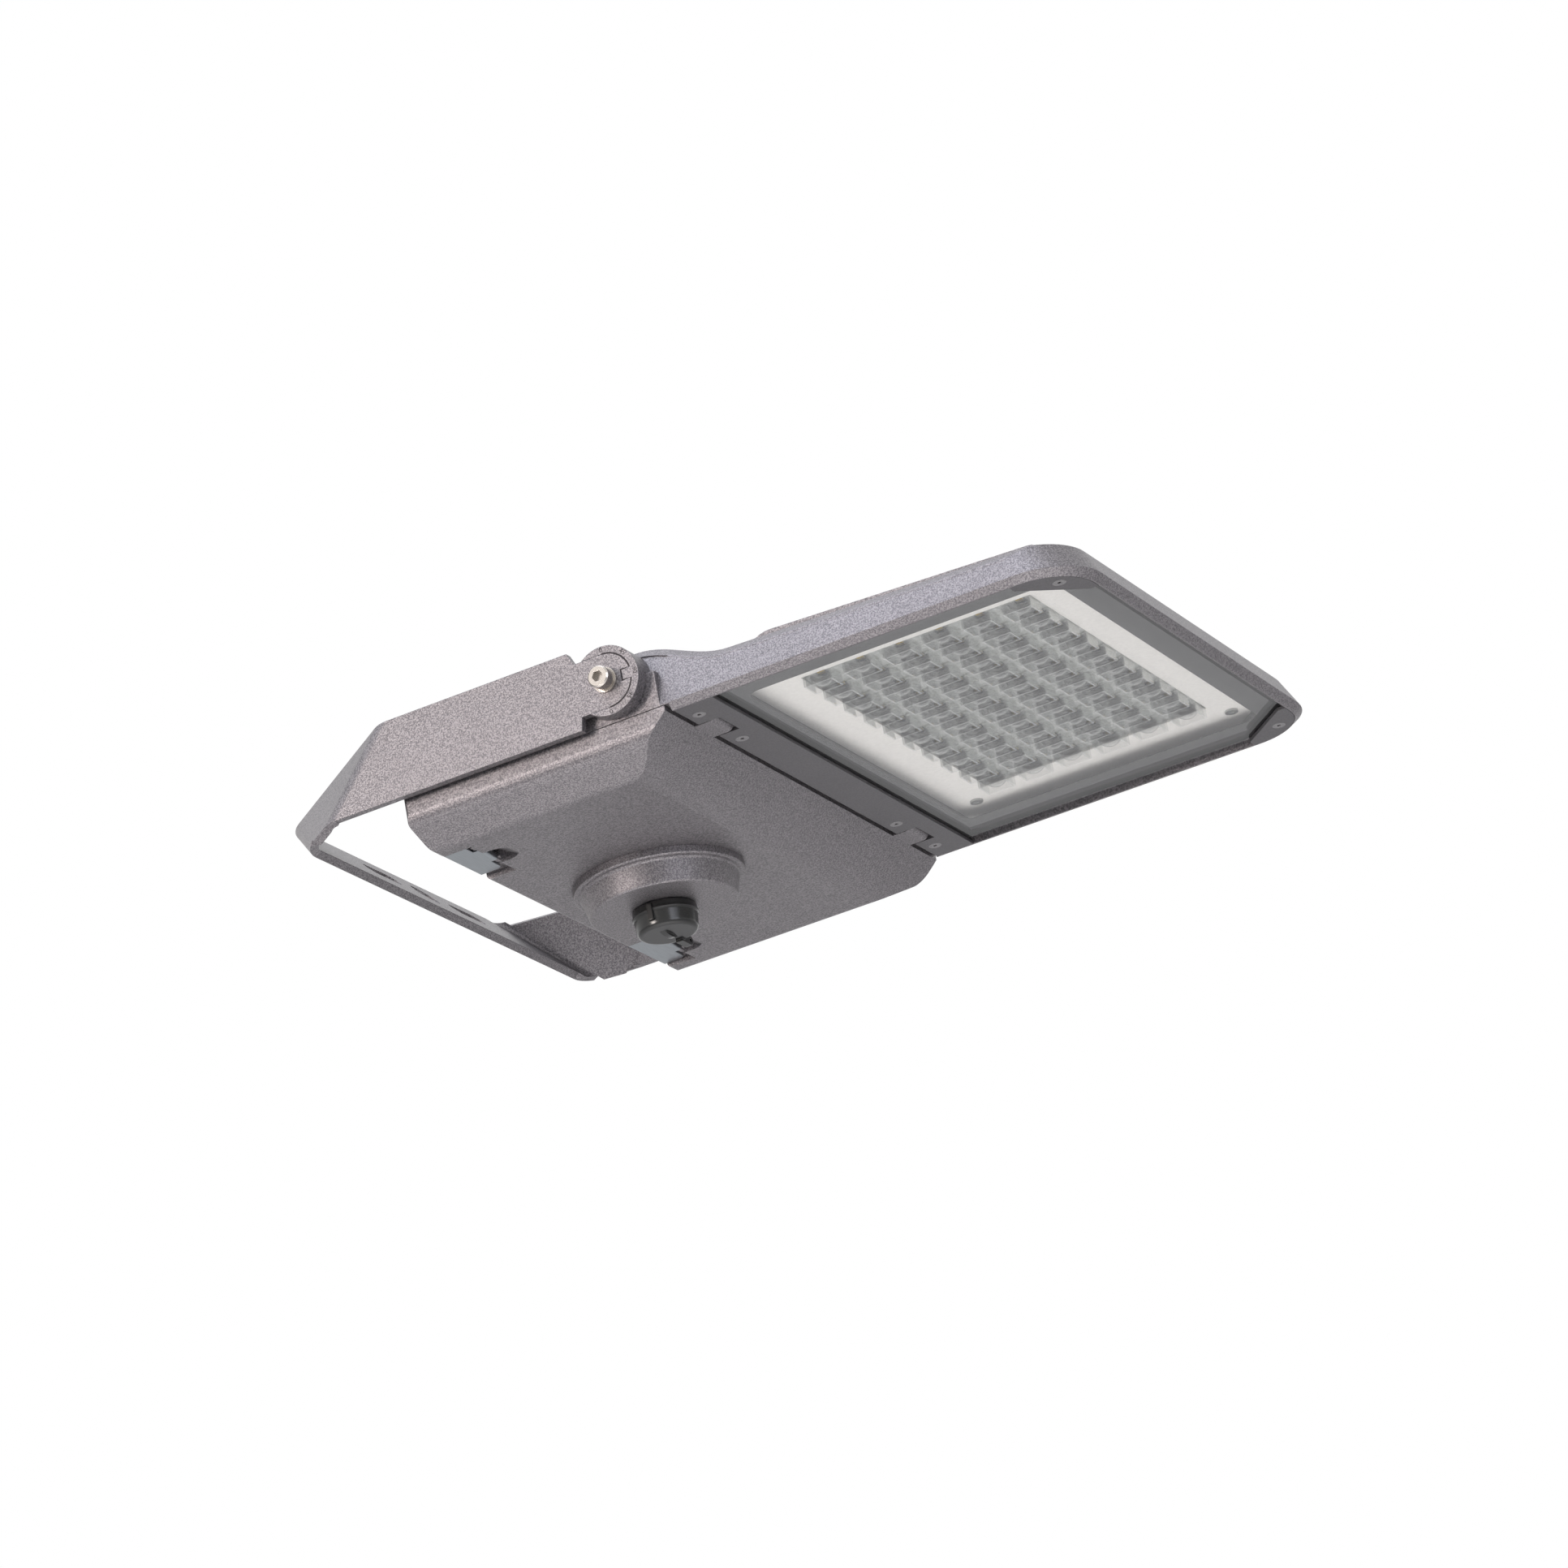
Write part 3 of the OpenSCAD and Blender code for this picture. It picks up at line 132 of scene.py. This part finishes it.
def powder_coat(name, low, high, grain=0.9, rough=0.42, metallic=0.75, bump=1.0, edge=0.5):
    """Polyester powder coat baked on metal: a fine pebbled skin with metallic flecks. Its real
    grain is about 0.3 mm, drawn coarser here so that it shows. Edges are rounded by the film."""
    material, tree, shader = shell(name)
    place = add(tree, "ShaderNodeTexCoord").outputs["Object"]
    fleck = add(
        tree,
        "ShaderNodeTexNoise",
        {"Scale": per_mm(grain), "Detail": 2.0, "Roughness": 0.7},
        {"Vector": place},
    ).outputs["Fac"]
    cloud = add(
        tree,
        "ShaderNodeTexNoise",
        {"Scale": per_mm(45), "Detail": 2.0},
        {"Vector": place},
    ).outputs["Fac"]
    flecks = add(
        tree,
        "ShaderNodeValToRGB",
        {"stops": ((0.42, linear(low)), (0.58, linear(high)))},
        {"Fac": fleck},
    ).outputs["Color"]
    tone = add(
        tree,
        "ShaderNodeValToRGB",
        {"stops": ((0.3, (0.95, 0.95, 0.95, 1)), (0.7, (1, 1, 1, 1)))},
        {"Fac": cloud},
    ).outputs["Color"]
    mixed = add(
        tree,
        "ShaderNodeMix",
        {"data_type": "RGBA", "blend_type": "MULTIPLY", 0: 1.0},
        {6: flecks, 7: tone},
    ).outputs[2]
    edges = add(tree, "ShaderNodeBevel", {"samples": 4, "Radius": edge * MM})
    height = add(
        tree,
        "ShaderNodeBump",
        {"Strength": bump, "Distance": 0.2 * MM},
        {"Height": fleck, "Normal": edges.outputs["Normal"]},
    ).outputs["Normal"]
    tree.links.new(mixed, shader.inputs["Base Color"])
    tree.links.new(height, shader.inputs["Normal"])
    shader.inputs["Metallic"].default_value = metallic
    shader.inputs["Roughness"].default_value = rough
    return material


def plain_metal(name, code, rough=0.3, brush=None, edge=0.2):
    """Bare steel: turned or rolled, with fine lines along one direction where brush is given."""
    material, tree, shader = shell(name)
    place = add(tree, "ShaderNodeTexCoord").outputs["Object"]
    stretch = brush or (1, 1, 1)
    scaled = add(
        tree,
        "ShaderNodeMapping",
        {"Scale": stretch},
        {"Vector": place},
    ).outputs["Vector"]
    lines = add(
        tree,
        "ShaderNodeTexNoise",
        {"Scale": per_mm(0.6), "Detail": 3.0},
        {"Vector": scaled},
    ).outputs["Fac"]
    base = linear(code)
    dark = tuple(c * 0.86 for c in base[:3]) + (1,)
    tone = add(
        tree,
        "ShaderNodeValToRGB",
        {"stops": ((0.3, dark), (0.7, base))},
        {"Fac": lines},
    ).outputs["Color"]
    tree.links.new(tone, shader.inputs["Base Color"])
    edges = add(tree, "ShaderNodeBevel", {"samples": 4, "Radius": edge * MM})
    tree.links.new(edges.outputs["Normal"], shader.inputs["Normal"])
    shader.inputs["Metallic"].default_value = 1.0
    shader.inputs["Roughness"].default_value = rough
    return material


def moulded(name, code, rough=0.5, grain=0.5, bump=0.05, edge=0.4):
    """Injection-moulded plastic or rubber: one colour, slightly uneven, with a faint skin."""
    material, tree, shader = shell(name)
    place = add(tree, "ShaderNodeTexCoord").outputs["Object"]
    skin = add(
        tree,
        "ShaderNodeTexNoise",
        {"Scale": per_mm(grain), "Detail": 3.0},
        {"Vector": place},
    ).outputs["Fac"]
    base = linear(code)
    dark = tuple(c * 0.93 for c in base[:3]) + (1,)
    tone = add(
        tree,
        "ShaderNodeValToRGB",
        {"stops": ((0.35, dark), (0.65, base))},
        {"Fac": skin},
    ).outputs["Color"]
    tree.links.new(tone, shader.inputs["Base Color"])
    edges = add(tree, "ShaderNodeBevel", {"samples": 4, "Radius": edge * MM})
    height = add(
        tree,
        "ShaderNodeBump",
        {"Strength": bump, "Distance": 0.05 * MM},
        {"Height": skin, "Normal": edges.outputs["Normal"]},
    ).outputs["Normal"]
    tree.links.new(height, shader.inputs["Normal"])
    shader.inputs["Roughness"].default_value = rough
    shader.inputs["IOR"].default_value = PLASTIC_IOR
    return material


def float_glass(name):
    """Toughened float glass, 3 mm: clear, with the faint mirror image that glass gives. It is
    see-through face on and mirrors more the flatter it is looked at. The mirror image is a white
    metal's, which alpha lets through by as much as glass mirrors."""
    material, tree, shader = shell(name)
    facing = add(tree, "ShaderNodeLayerWeight", {"Blend": 0.5}).outputs["Facing"]
    steep = add(tree, "ShaderNodeMath", {"operation": "POWER", 1: 5.0}, {0: facing})
    mirror = add(
        tree,
        "ShaderNodeMath",
        {"operation": "MULTIPLY_ADD", 1: 0.96, 2: 0.04},
        {0: steep.outputs[0]},
    )
    tree.links.new(mirror.outputs[0], shader.inputs["Alpha"])
    shader.inputs["Base Color"].default_value = linear("#ffffff")
    shader.inputs["Metallic"].default_value = 1.0
    shader.inputs["Roughness"].default_value = 0.0
    return material


def clear_acrylic(name):
    """Optical acrylic, moulded clear and glossy: clear where it is looked at face on, so that
    the diode shows. Its colour is painted light: dark nearer face on, as painted shade, and pale
    along its walls and rims, as a painted reflection. Half metallic, for the glints that its many
    polished faces throw."""
    material, tree, shader = shell(name)
    facing = add(tree, "ShaderNodeLayerWeight", {"Blend": 0.5}).outputs["Facing"]
    steep = add(tree, "ShaderNodeMath", {"operation": "POWER", 1: 1.6}, {0: facing})
    body = add(
        tree,
        "ShaderNodeMath",
        {"operation": "MULTIPLY_ADD", 1: 0.8, 2: 0.05},
        {0: steep.outputs[0]},
    )
    tree.links.new(body.outputs[0], shader.inputs["Alpha"])
    # Painted reflection and shade: the colour runs from dark near face on to pale along the walls
    # and rims
    tone = add(
        tree,
        "ShaderNodeValToRGB",
        {"stops": ((0.15, linear("#4d524e")), (0.6, linear("#f4f7f3")))},
        {"Fac": facing},
    ).outputs["Color"]
    tree.links.new(tone, shader.inputs["Base Color"])
    shader.inputs["Metallic"].default_value = 0.5
    shader.inputs["Roughness"].default_value = 0.06
    return material


def dress(material, *names):
    """Puts a material on CAD nodes."""
    for name in names:
        mesh = NODES[name].data
        mesh.materials.clear()
        mesh.materials.append(material)


def piece(name, bm, material, body):
    """Makes an object of a bmesh, gives it its finish and lets it ride on a body."""
    mesh = bpy.data.meshes.new(name)
    bmesh.ops.recalc_face_normals(bm, faces=bm.faces)
    bm.to_mesh(mesh)
    bm.free()
    made = bpy.data.objects.new(name, mesh)
    bpy.context.scene.collection.objects.link(made)
    mesh.materials.append(material)
    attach(made, body)
    return made


def rounded(x0, x1, y, r, steps=10):
    """Corner points of a rounded rectangle from x0 to x1 and -y to y."""
    points = []
    middles = ((x1 - r, y - r), (x0 + r, y - r), (x0 + r, r - y), (x1 - r, r - y))
    for quarter, (cx, cy) in enumerate(middles):
        for i in range(steps + 1):
            t = math.radians(90 * quarter + 90 * i / steps)
            points.append((cx + r * math.cos(t), cy + r * math.sin(t)))
    return points


class FloodlightFinish(bpy.types.PropertyGroup):
    """Colours that a user would change."""

    coat: bpy.props.StringProperty(
        name="Coat", description="Powder coat's lighter colour, sRGB hex", default="#8e8a8c"
    )
    coat_low: bpy.props.StringProperty(
        name="Coat, low", description="Powder coat's darker colour, sRGB hex", default="#666366"
    )
    cap: bpy.props.StringProperty(
        name="Cap", description="Colour of the twist cap, sRGB hex", default="#1c1c1b"
    )


class FloodlightPrint(bpy.types.PropertyGroup):
    """Sizes of the print on the glass and of the numbers on the discs."""

    window_back: bpy.props.FloatProperty(
        name="Window, rear",
        description="Rear edge of the clear window ahead of the hinge line",
        default=9 * MM,
        unit="LENGTH",
    )
    window_front: bpy.props.FloatProperty(
        name="Window, front",
        description="Front edge of the clear window ahead of the hinge line",
        default=204.3 * MM,
        unit="LENGTH",
    )
    window_half: bpy.props.FloatProperty(
        name="Window, half width",
        description="Half of the clear window's width",
        default=144.8 * MM,
        unit="LENGTH",
    )
    number_size: bpy.props.FloatProperty(
        name="Numbers", description="Height of the numbers", default=3.9 * MM, unit="LENGTH"
    )


class FLOODLIGHT_OT_casting(bpy.types.Operator):
    """Finishes the casting, the door, the dome and the bracket with powder coat"""

    bl_idname = "floodlight.casting"
    bl_label = "Powder-coated castings and bracket"

    def execute(self, context):
        finish = context.scene.floodlight_finish
        # The same sprayed coat on the castings and on the plate, where it lies a little coarser
        coat = powder_coat("powder_coat_on_die_cast_aluminium", finish.coat_low, finish.coat)
        dress(coat, "housing", "door", "socket_dome")
        plate = powder_coat(
            "powder_coat_on_steel_plate", finish.coat_low, finish.coat, grain=0.95, bump=0.9
        )
        dress(plate, "bracket")
        disc = powder_coat(
            "powder_coat_on_scale_discs", finish.coat_low, finish.coat, grain=0.95, bump=0.9
        )
        dress(disc, "scale_disc_near", "scale_disc_far")
        # Thin sheet pieces, coated smooth: darker and almost without flecks
        smooth = powder_coat(
            "smooth_powder_coat_on_steel_sheet", "#5e5c5e", "#696769", grain=0.7, bump=0.1
        )
        dress(smooth, "hinge_plate", "corner_clamp_near", "corner_clamp_far")
        return {"FINISHED"}


class FLOODLIGHT_OT_fasteners(bpy.types.Operator):
    """Finishes screws, washers, pins and latches as bare steel"""

    bl_idname = "floodlight.fasteners"
    bl_label = "Screws, pins and latches"

    def execute(self, context):
        # Turned stainless steel: bright, slightly warm and sharp in its mirror images
        stainless = plain_metal("stainless_steel_turned", "#c2bcb5", rough=0.25)
        dress(stainless, "pivot_screws", "pivot_washers")
        # Zinc plate: paler and duller than stainless steel
        zinc = plain_metal("zinc_plated_steel_screws", "#b9bab8", rough=0.35)
        dress(zinc, "panel_screws", "tray_screws", "dome_screws", "hinge_pins", "latch_pins")
        # Heads coated with the sheet that they hold, worn a little lighter
        painted = powder_coat(
            "painted_screw_heads", "#7d7b7c", "#959394", grain=0.5, rough=0.4, bump=0.05, edge=0.2
        )
        dress(painted, "clamp_screws", "hinge_plate_screws")
        # Rolled and brushed sheet: fine lines across the lamp draw its shine out
        sheet = plain_metal("brushed_stainless_sheet", "#a3a8ac", rough=0.3, brush=(1, 0.05, 1))
        dress(sheet, "latch_near", "latch_far")
        # Hot-dip galvanised sheet: dull, bluish grey
        galvanised = plain_metal("galvanised_steel_sheet", "#b8bcbf", rough=0.5)
        dress(galvanised, "gear_tray")
        return {"FINISHED"}


class FLOODLIGHT_OT_optics(bpy.types.Operator):
    """Finishes the glass, the lenses, the reflector panel and the LEDs"""

    bl_idname = "floodlight.optics"
    bl_label = "Glass, lenses and panel"

    def execute(self, context):
        dress(float_glass("toughened_float_glass"), "front_glass")
        dress(clear_acrylic("clear_optical_acrylic_with_painted_reflection"), *["lens_strip_%d" % i for i in range(1, 7)])
        # Stucco-embossed sheet, painted white: bright, matt and softly dimpled
        panel = moulded(
            "white_textured_reflector_sheet", "#f0eee8", rough=0.6, grain=2.0, bump=0.3
        )
        dress(panel, "reflector_panel")
        # Printed white solder mask, coloured greyish as painted shade for the shade of the lenses
        # over it: flat
        board = moulded("white_solder_mask_in_painted_shade", "#92968c", rough=0.5)
        dress(board, "led_board")
        # Phosphor cast over the diodes: a matt yellow square
        dress(moulded("yellow_phosphor", "#e8c52a", rough=0.5), "led_packages")
        return {"FINISHED"}


class FLOODLIGHT_OT_print(bpy.types.Operator):
    """Prints the black border on the inner face of the glass"""

    bl_idname = "floodlight.print"
    bl_label = "Black border on the glass"

    def execute(self, context):
        sizes = context.scene.floodlight_print
        corner = WINDOW_CORNER * MM
        inner = rounded(sizes.window_back, sizes.window_front, sizes.window_half, corner)
        edge = GLASS_EDGE * MM
        x0, x1 = PRINT_REAR * MM, GLASS_HIGH.x - ZERO.x - edge
        outer = rounded(x0, x1, GLASS_HIGH.y - edge, GLASS_CORNER * MM)
        z = GLASS_HIGH.z + FILM * MM
        bm = bmesh.new()
        rows = []
        for ring in (outer, inner):
            rows.append([bm.verts.new((ZERO.x + x, y, z)) for x, y in ring])
        count = len(inner)
        for i in range(count):
            j = (i + 1) % count
            bm.faces.new((rows[0][i], rows[0][j], rows[1][j], rows[1][i]))
        # Ceramic enamel fired on the glass: an even, matt black
        enamel = moulded("black_ceramic_enamel", "#232323", rough=0.6, edge=0.05)
        piece("glass_border_print", bm, enamel, "lamp")
        return {"FINISHED"}


class FLOODLIGHT_OT_numbers(bpy.types.Operator):
    """Puts the angle numbers on the two scale discs"""

    bl_idname = "floodlight.numbers"
    bl_label = "Angle numbers"

    def execute(self, context):
        size = context.scene.floodlight_print.number_size
        # Painted shade: the stamped numbers and the gap around the arm's end are drawn dark for
        # the shade that lies in them, with little grain
        recess_shade = powder_coat("painted_shade_in_numbers_and_gap", "#2b282a", "#363335", grain=0.8, bump=0.1, edge=0.05)
        for side, name in ((-1, "near"), (1, "far")):
            face = abs(DISC_HIGH.y) + FILM * MM
            for angle, word in SCALE_ANGLES:
                text = bpy.data.curves.new("number", "FONT")
                text.body = word
                text.size = size
                text.align_x = "CENTER"
                text.align_y = "CENTER"
                text.extrude = 0.02 * MM
                made = bpy.data.objects.new("number_%s_%d" % (name, angle % 360), text)
                bpy.context.scene.collection.objects.link(made)
                t = math.radians(angle)
                r = NUMBER_RADIUS * MM
                place = Vector((PIVOT.x + r * math.cos(t), side * face, PIVOT.z + r * math.sin(t)))
                # The text's up points away from the pivot, and its face away from the lamp
                up = Vector((math.cos(t), 0, math.sin(t)))
                out = Vector((0, side, 0))
                right = up.cross(out)
                turn = Matrix((right, up, out)).transposed().to_4x4()
                made.matrix_world = Matrix.Translation(place) @ turn
                made.data.materials.append(recess_shade)
                bpy.context.view_layer.update()
                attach(made, "bracket")
            self.shadow_gap(name, side, face, recess_shade)
        return {"FINISHED"}

    def shadow_gap(self, name, side, face, recess_shade):
        """A painted shadow: a dark line on the disc where the gap between the arm's round end,
        with its keyway, and the disc around it lies in shade.
        """
        r, key, depth, wide = ARM_END_RADIUS, KEYWAY_HALF, KEYWAY_DEPTH, GAP_HALF
        bm = bmesh.new()
        rows = []
        open_at = math.degrees(math.asin(key / r))
        sweep = (90 - open_at) / ARC_STEPS
        upper = [math.radians(90 - sweep * i) for i in range(ARC_STEPS + 1)]
        inner = [((r - wide) * math.cos(t), (r - wide) * math.sin(t)) for t in upper]
        outer = [((r + wide) * math.cos(t), (r + wide) * math.sin(t)) for t in upper]
        inner += [(r - depth - wide, key + wide), (r - depth - wide, 0)]
        outer += [(r - depth + wide, key - wide), (r - depth + wide, 0)]
        inner += [(x, -z) for x, z in reversed(inner[:-1])]
        outer += [(x, -z) for x, z in reversed(outer[:-1])]
        for ring in (inner, outer):
            rows.append(
                [bm.verts.new((PIVOT.x + x * MM, side * face, PIVOT.z + z * MM)) for x, z in ring]
            )
        for i in range(len(inner) - 1):
            bm.faces.new((rows[0][i], rows[0][i + 1], rows[1][i + 1], rows[1][i]))
        piece("shadow_gap_" + name, bm, recess_shade, "bracket")


class FLOODLIGHT_OT_plastics(bpy.types.Operator):
    """Finishes the cap, the gaskets and the fittings inside"""

    bl_idname = "floodlight.plastics"
    bl_label = "Cap, gaskets and gear"

    def execute(self, context):
        finish = context.scene.floodlight_finish
        # Weatherproof moulding from a polished tool: near-black and glossy
        cap = moulded("glossy_black_asa", finish.cap, rough=0.22, bump=0.02, edge=0.6)
        dress(cap, "socket_cap")
        # Glass-filled nylon: black with a half-dull skin
        nylon = moulded("black_nylon", "#191919", rough=0.45)
        dress(nylon, "socket_base", "cable_gland", "gland_nut", "vent_plug")
        # Cast silicone rubber: black and quite matt
        rubber = moulded("black_silicone_rubber", "#1d1d1d", rough=0.7)
        dress(rubber, "glass_gasket", "door_gasket", "dome_gasket")
        # Bought gear: moulded housings with a plain skin, and an extruded case
        dress(moulded("white_nylon", "#ecebe4", rough=0.45), "terminal_block")
        dress(moulded("red_pbt", "#8c2f29", rough=0.4), "surge_protector")
        dress(plain_metal("extruded_aluminium_case", "#d0d0cc", rough=0.45), "led_driver")
        return {"FINISHED"}


class FLOODLIGHT_OT_stage(bpy.types.Operator):
    """Sets the floor, the lights, the white surroundings and the camera"""

    bl_idname = "floodlight.stage"
    bl_label = "Studio and camera"

    def execute(self, context):
        scene = context.scene
        bpy.ops.mesh.primitive_plane_add(size=FLOOR_SIZE, location=(0.3, 0, FLOOR_Z))
        floor = context.active_object
        floor.name = "studio_floor"
        # Seamless paper: pale and quite matt
        material, tree, shader = shell("pale_studio_floor")
        shader.inputs["Base Color"].default_value = linear("#e4e2e0")
        shader.inputs["Roughness"].default_value = 0.9
        # A little glow for rays that look at the floor, straight, mirrored or through glass, so
        # that it is pale all the way out. It keeps the shadow, and throws no glow on the lamp.
        shader.inputs["Emission Color"].default_value = linear("#ffffff")
        glow = add(
            tree,
            "ShaderNodeMath",
            {"operation": "MULTIPLY", 1: FLOOR_GLOW},
            {0: self.seen(tree)},
        )
        tree.links.new(glow.outputs[0], shader.inputs["Emission Strength"])
        floor.data.materials.append(material)
        world = bpy.data.worlds.new("white_surround")
        scene.world = world
        world.use_nodes = True
        tree = world.node_tree
        tree.nodes.clear()
        dim = add(
            tree,
            "ShaderNodeBackground",
            {"Color": linear("#eef0f6"), "Strength": SURROUND_LIGHT},
        )
        white = add(tree, "ShaderNodeBackground", {"Color": (1, 1, 1, 1), "Strength": 1.0})
        both = add(
            tree,
            "ShaderNodeMixShader",
            links={0: self.seen(tree), 1: dim.outputs[0], 2: white.outputs[0]},
        )
        add(tree, "ShaderNodeOutputWorld", links={"Surface": both.outputs[0]})
        middle = lamp(0, 0, 20)
        for name, place, size, power, colour in SOFTBOXES:
            light = bpy.data.lights.new(name, "AREA")
            light.energy = power
            light.size = size
            light.color = linear(colour)[:3]
            made = bpy.data.objects.new(name, light)
            made.location = place
            aim = Vector((0, 0, -1)) if name == "floor_wash" else middle - Vector(place)
            made.rotation_euler = aim.to_track_quat("-Z", "Y").to_euler()
            scene.collection.objects.link(made)
        az, el = math.radians(CAMERA_TURN), math.radians(CAMERA_HEIGHT)
        roll = math.radians(CAMERA_ROLL)
        back = Vector(
            (math.sin(az) * math.cos(el), -math.cos(az) * math.cos(el), math.sin(el))
        )
        right = Vector((math.cos(az), math.sin(az), 0))
        up = back.cross(right)
        x_axis = right * math.cos(roll) + up * math.sin(roll)
        y_axis = up * math.cos(roll) - right * math.sin(roll)
        data = bpy.data.cameras.new("photo_camera")
        data.lens = CAMERA_LENS
        data.sensor_width = CAMERA_FRAME
        data.clip_end = 100
        camera = bpy.data.objects.new("photo_camera", data)
        turn = Matrix((x_axis, y_axis, back)).transposed().to_4x4()
        camera.matrix_world = Matrix.Translation(lamp(*CAMERA_PLACE)) @ turn
        scene.collection.objects.link(camera)
        scene.camera = camera
        scene.view_settings.view_transform = "Standard"
        return {"FINISHED"}

    def seen(self, tree):
        """1 for a ray that looks at the background, straight, mirrored or through glass."""
        path = add(tree, "ShaderNodeLightPath")
        most = path.outputs["Is Camera Ray"]
        for kind in ("Is Glossy Ray", "Is Transmission Ray"):
            both = add(
                tree,
                "ShaderNodeMath",
                {"operation": "MAXIMUM"},
                {0: most, 1: path.outputs[kind]},
            )
            most = both.outputs[0]
        return most


PIECES = (
    FLOODLIGHT_OT_casting,
    FLOODLIGHT_OT_fasteners,
    FLOODLIGHT_OT_optics,
    FLOODLIGHT_OT_print,
    FLOODLIGHT_OT_numbers,
    FLOODLIGHT_OT_plastics,
    FLOODLIGHT_OT_stage,
)


class FLOODLIGHT_PT_panel(bpy.types.Panel):
    """Lists the floodlight's pieces in the sidebar"""

    bl_idname = "FLOODLIGHT_PT_panel"
    bl_label = "Floodlight"
    bl_space_type = "VIEW_3D"
    bl_region_type = "UI"
    bl_category = "Floodlight"

    def draw(self, context):
        for group in (context.scene.floodlight_finish, context.scene.floodlight_print):
            for key in group.__annotations__:
                self.layout.prop(group, key)
        for operator in PIECES:
            self.layout.operator(operator.bl_idname)


CLASSES = (FloodlightFinish, FloodlightPrint) + PIECES + (FLOODLIGHT_PT_panel,)


def register():
    for item in CLASSES:
        bpy.utils.register_class(item)
    bpy.types.Scene.floodlight_finish = bpy.props.PointerProperty(type=FloodlightFinish)
    bpy.types.Scene.floodlight_print = bpy.props.PointerProperty(type=FloodlightPrint)


def unregister():
    del bpy.types.Scene.floodlight_print
    del bpy.types.Scene.floodlight_finish
    for item in reversed(CLASSES):
        bpy.utils.unregister_class(item)


def main():
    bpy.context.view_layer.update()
    register()
    for operator in PIECES:
        group, name = operator.bl_idname.split(".")
        getattr(getattr(bpy.ops, group), name)()


if __name__ == "__main__":
    main()
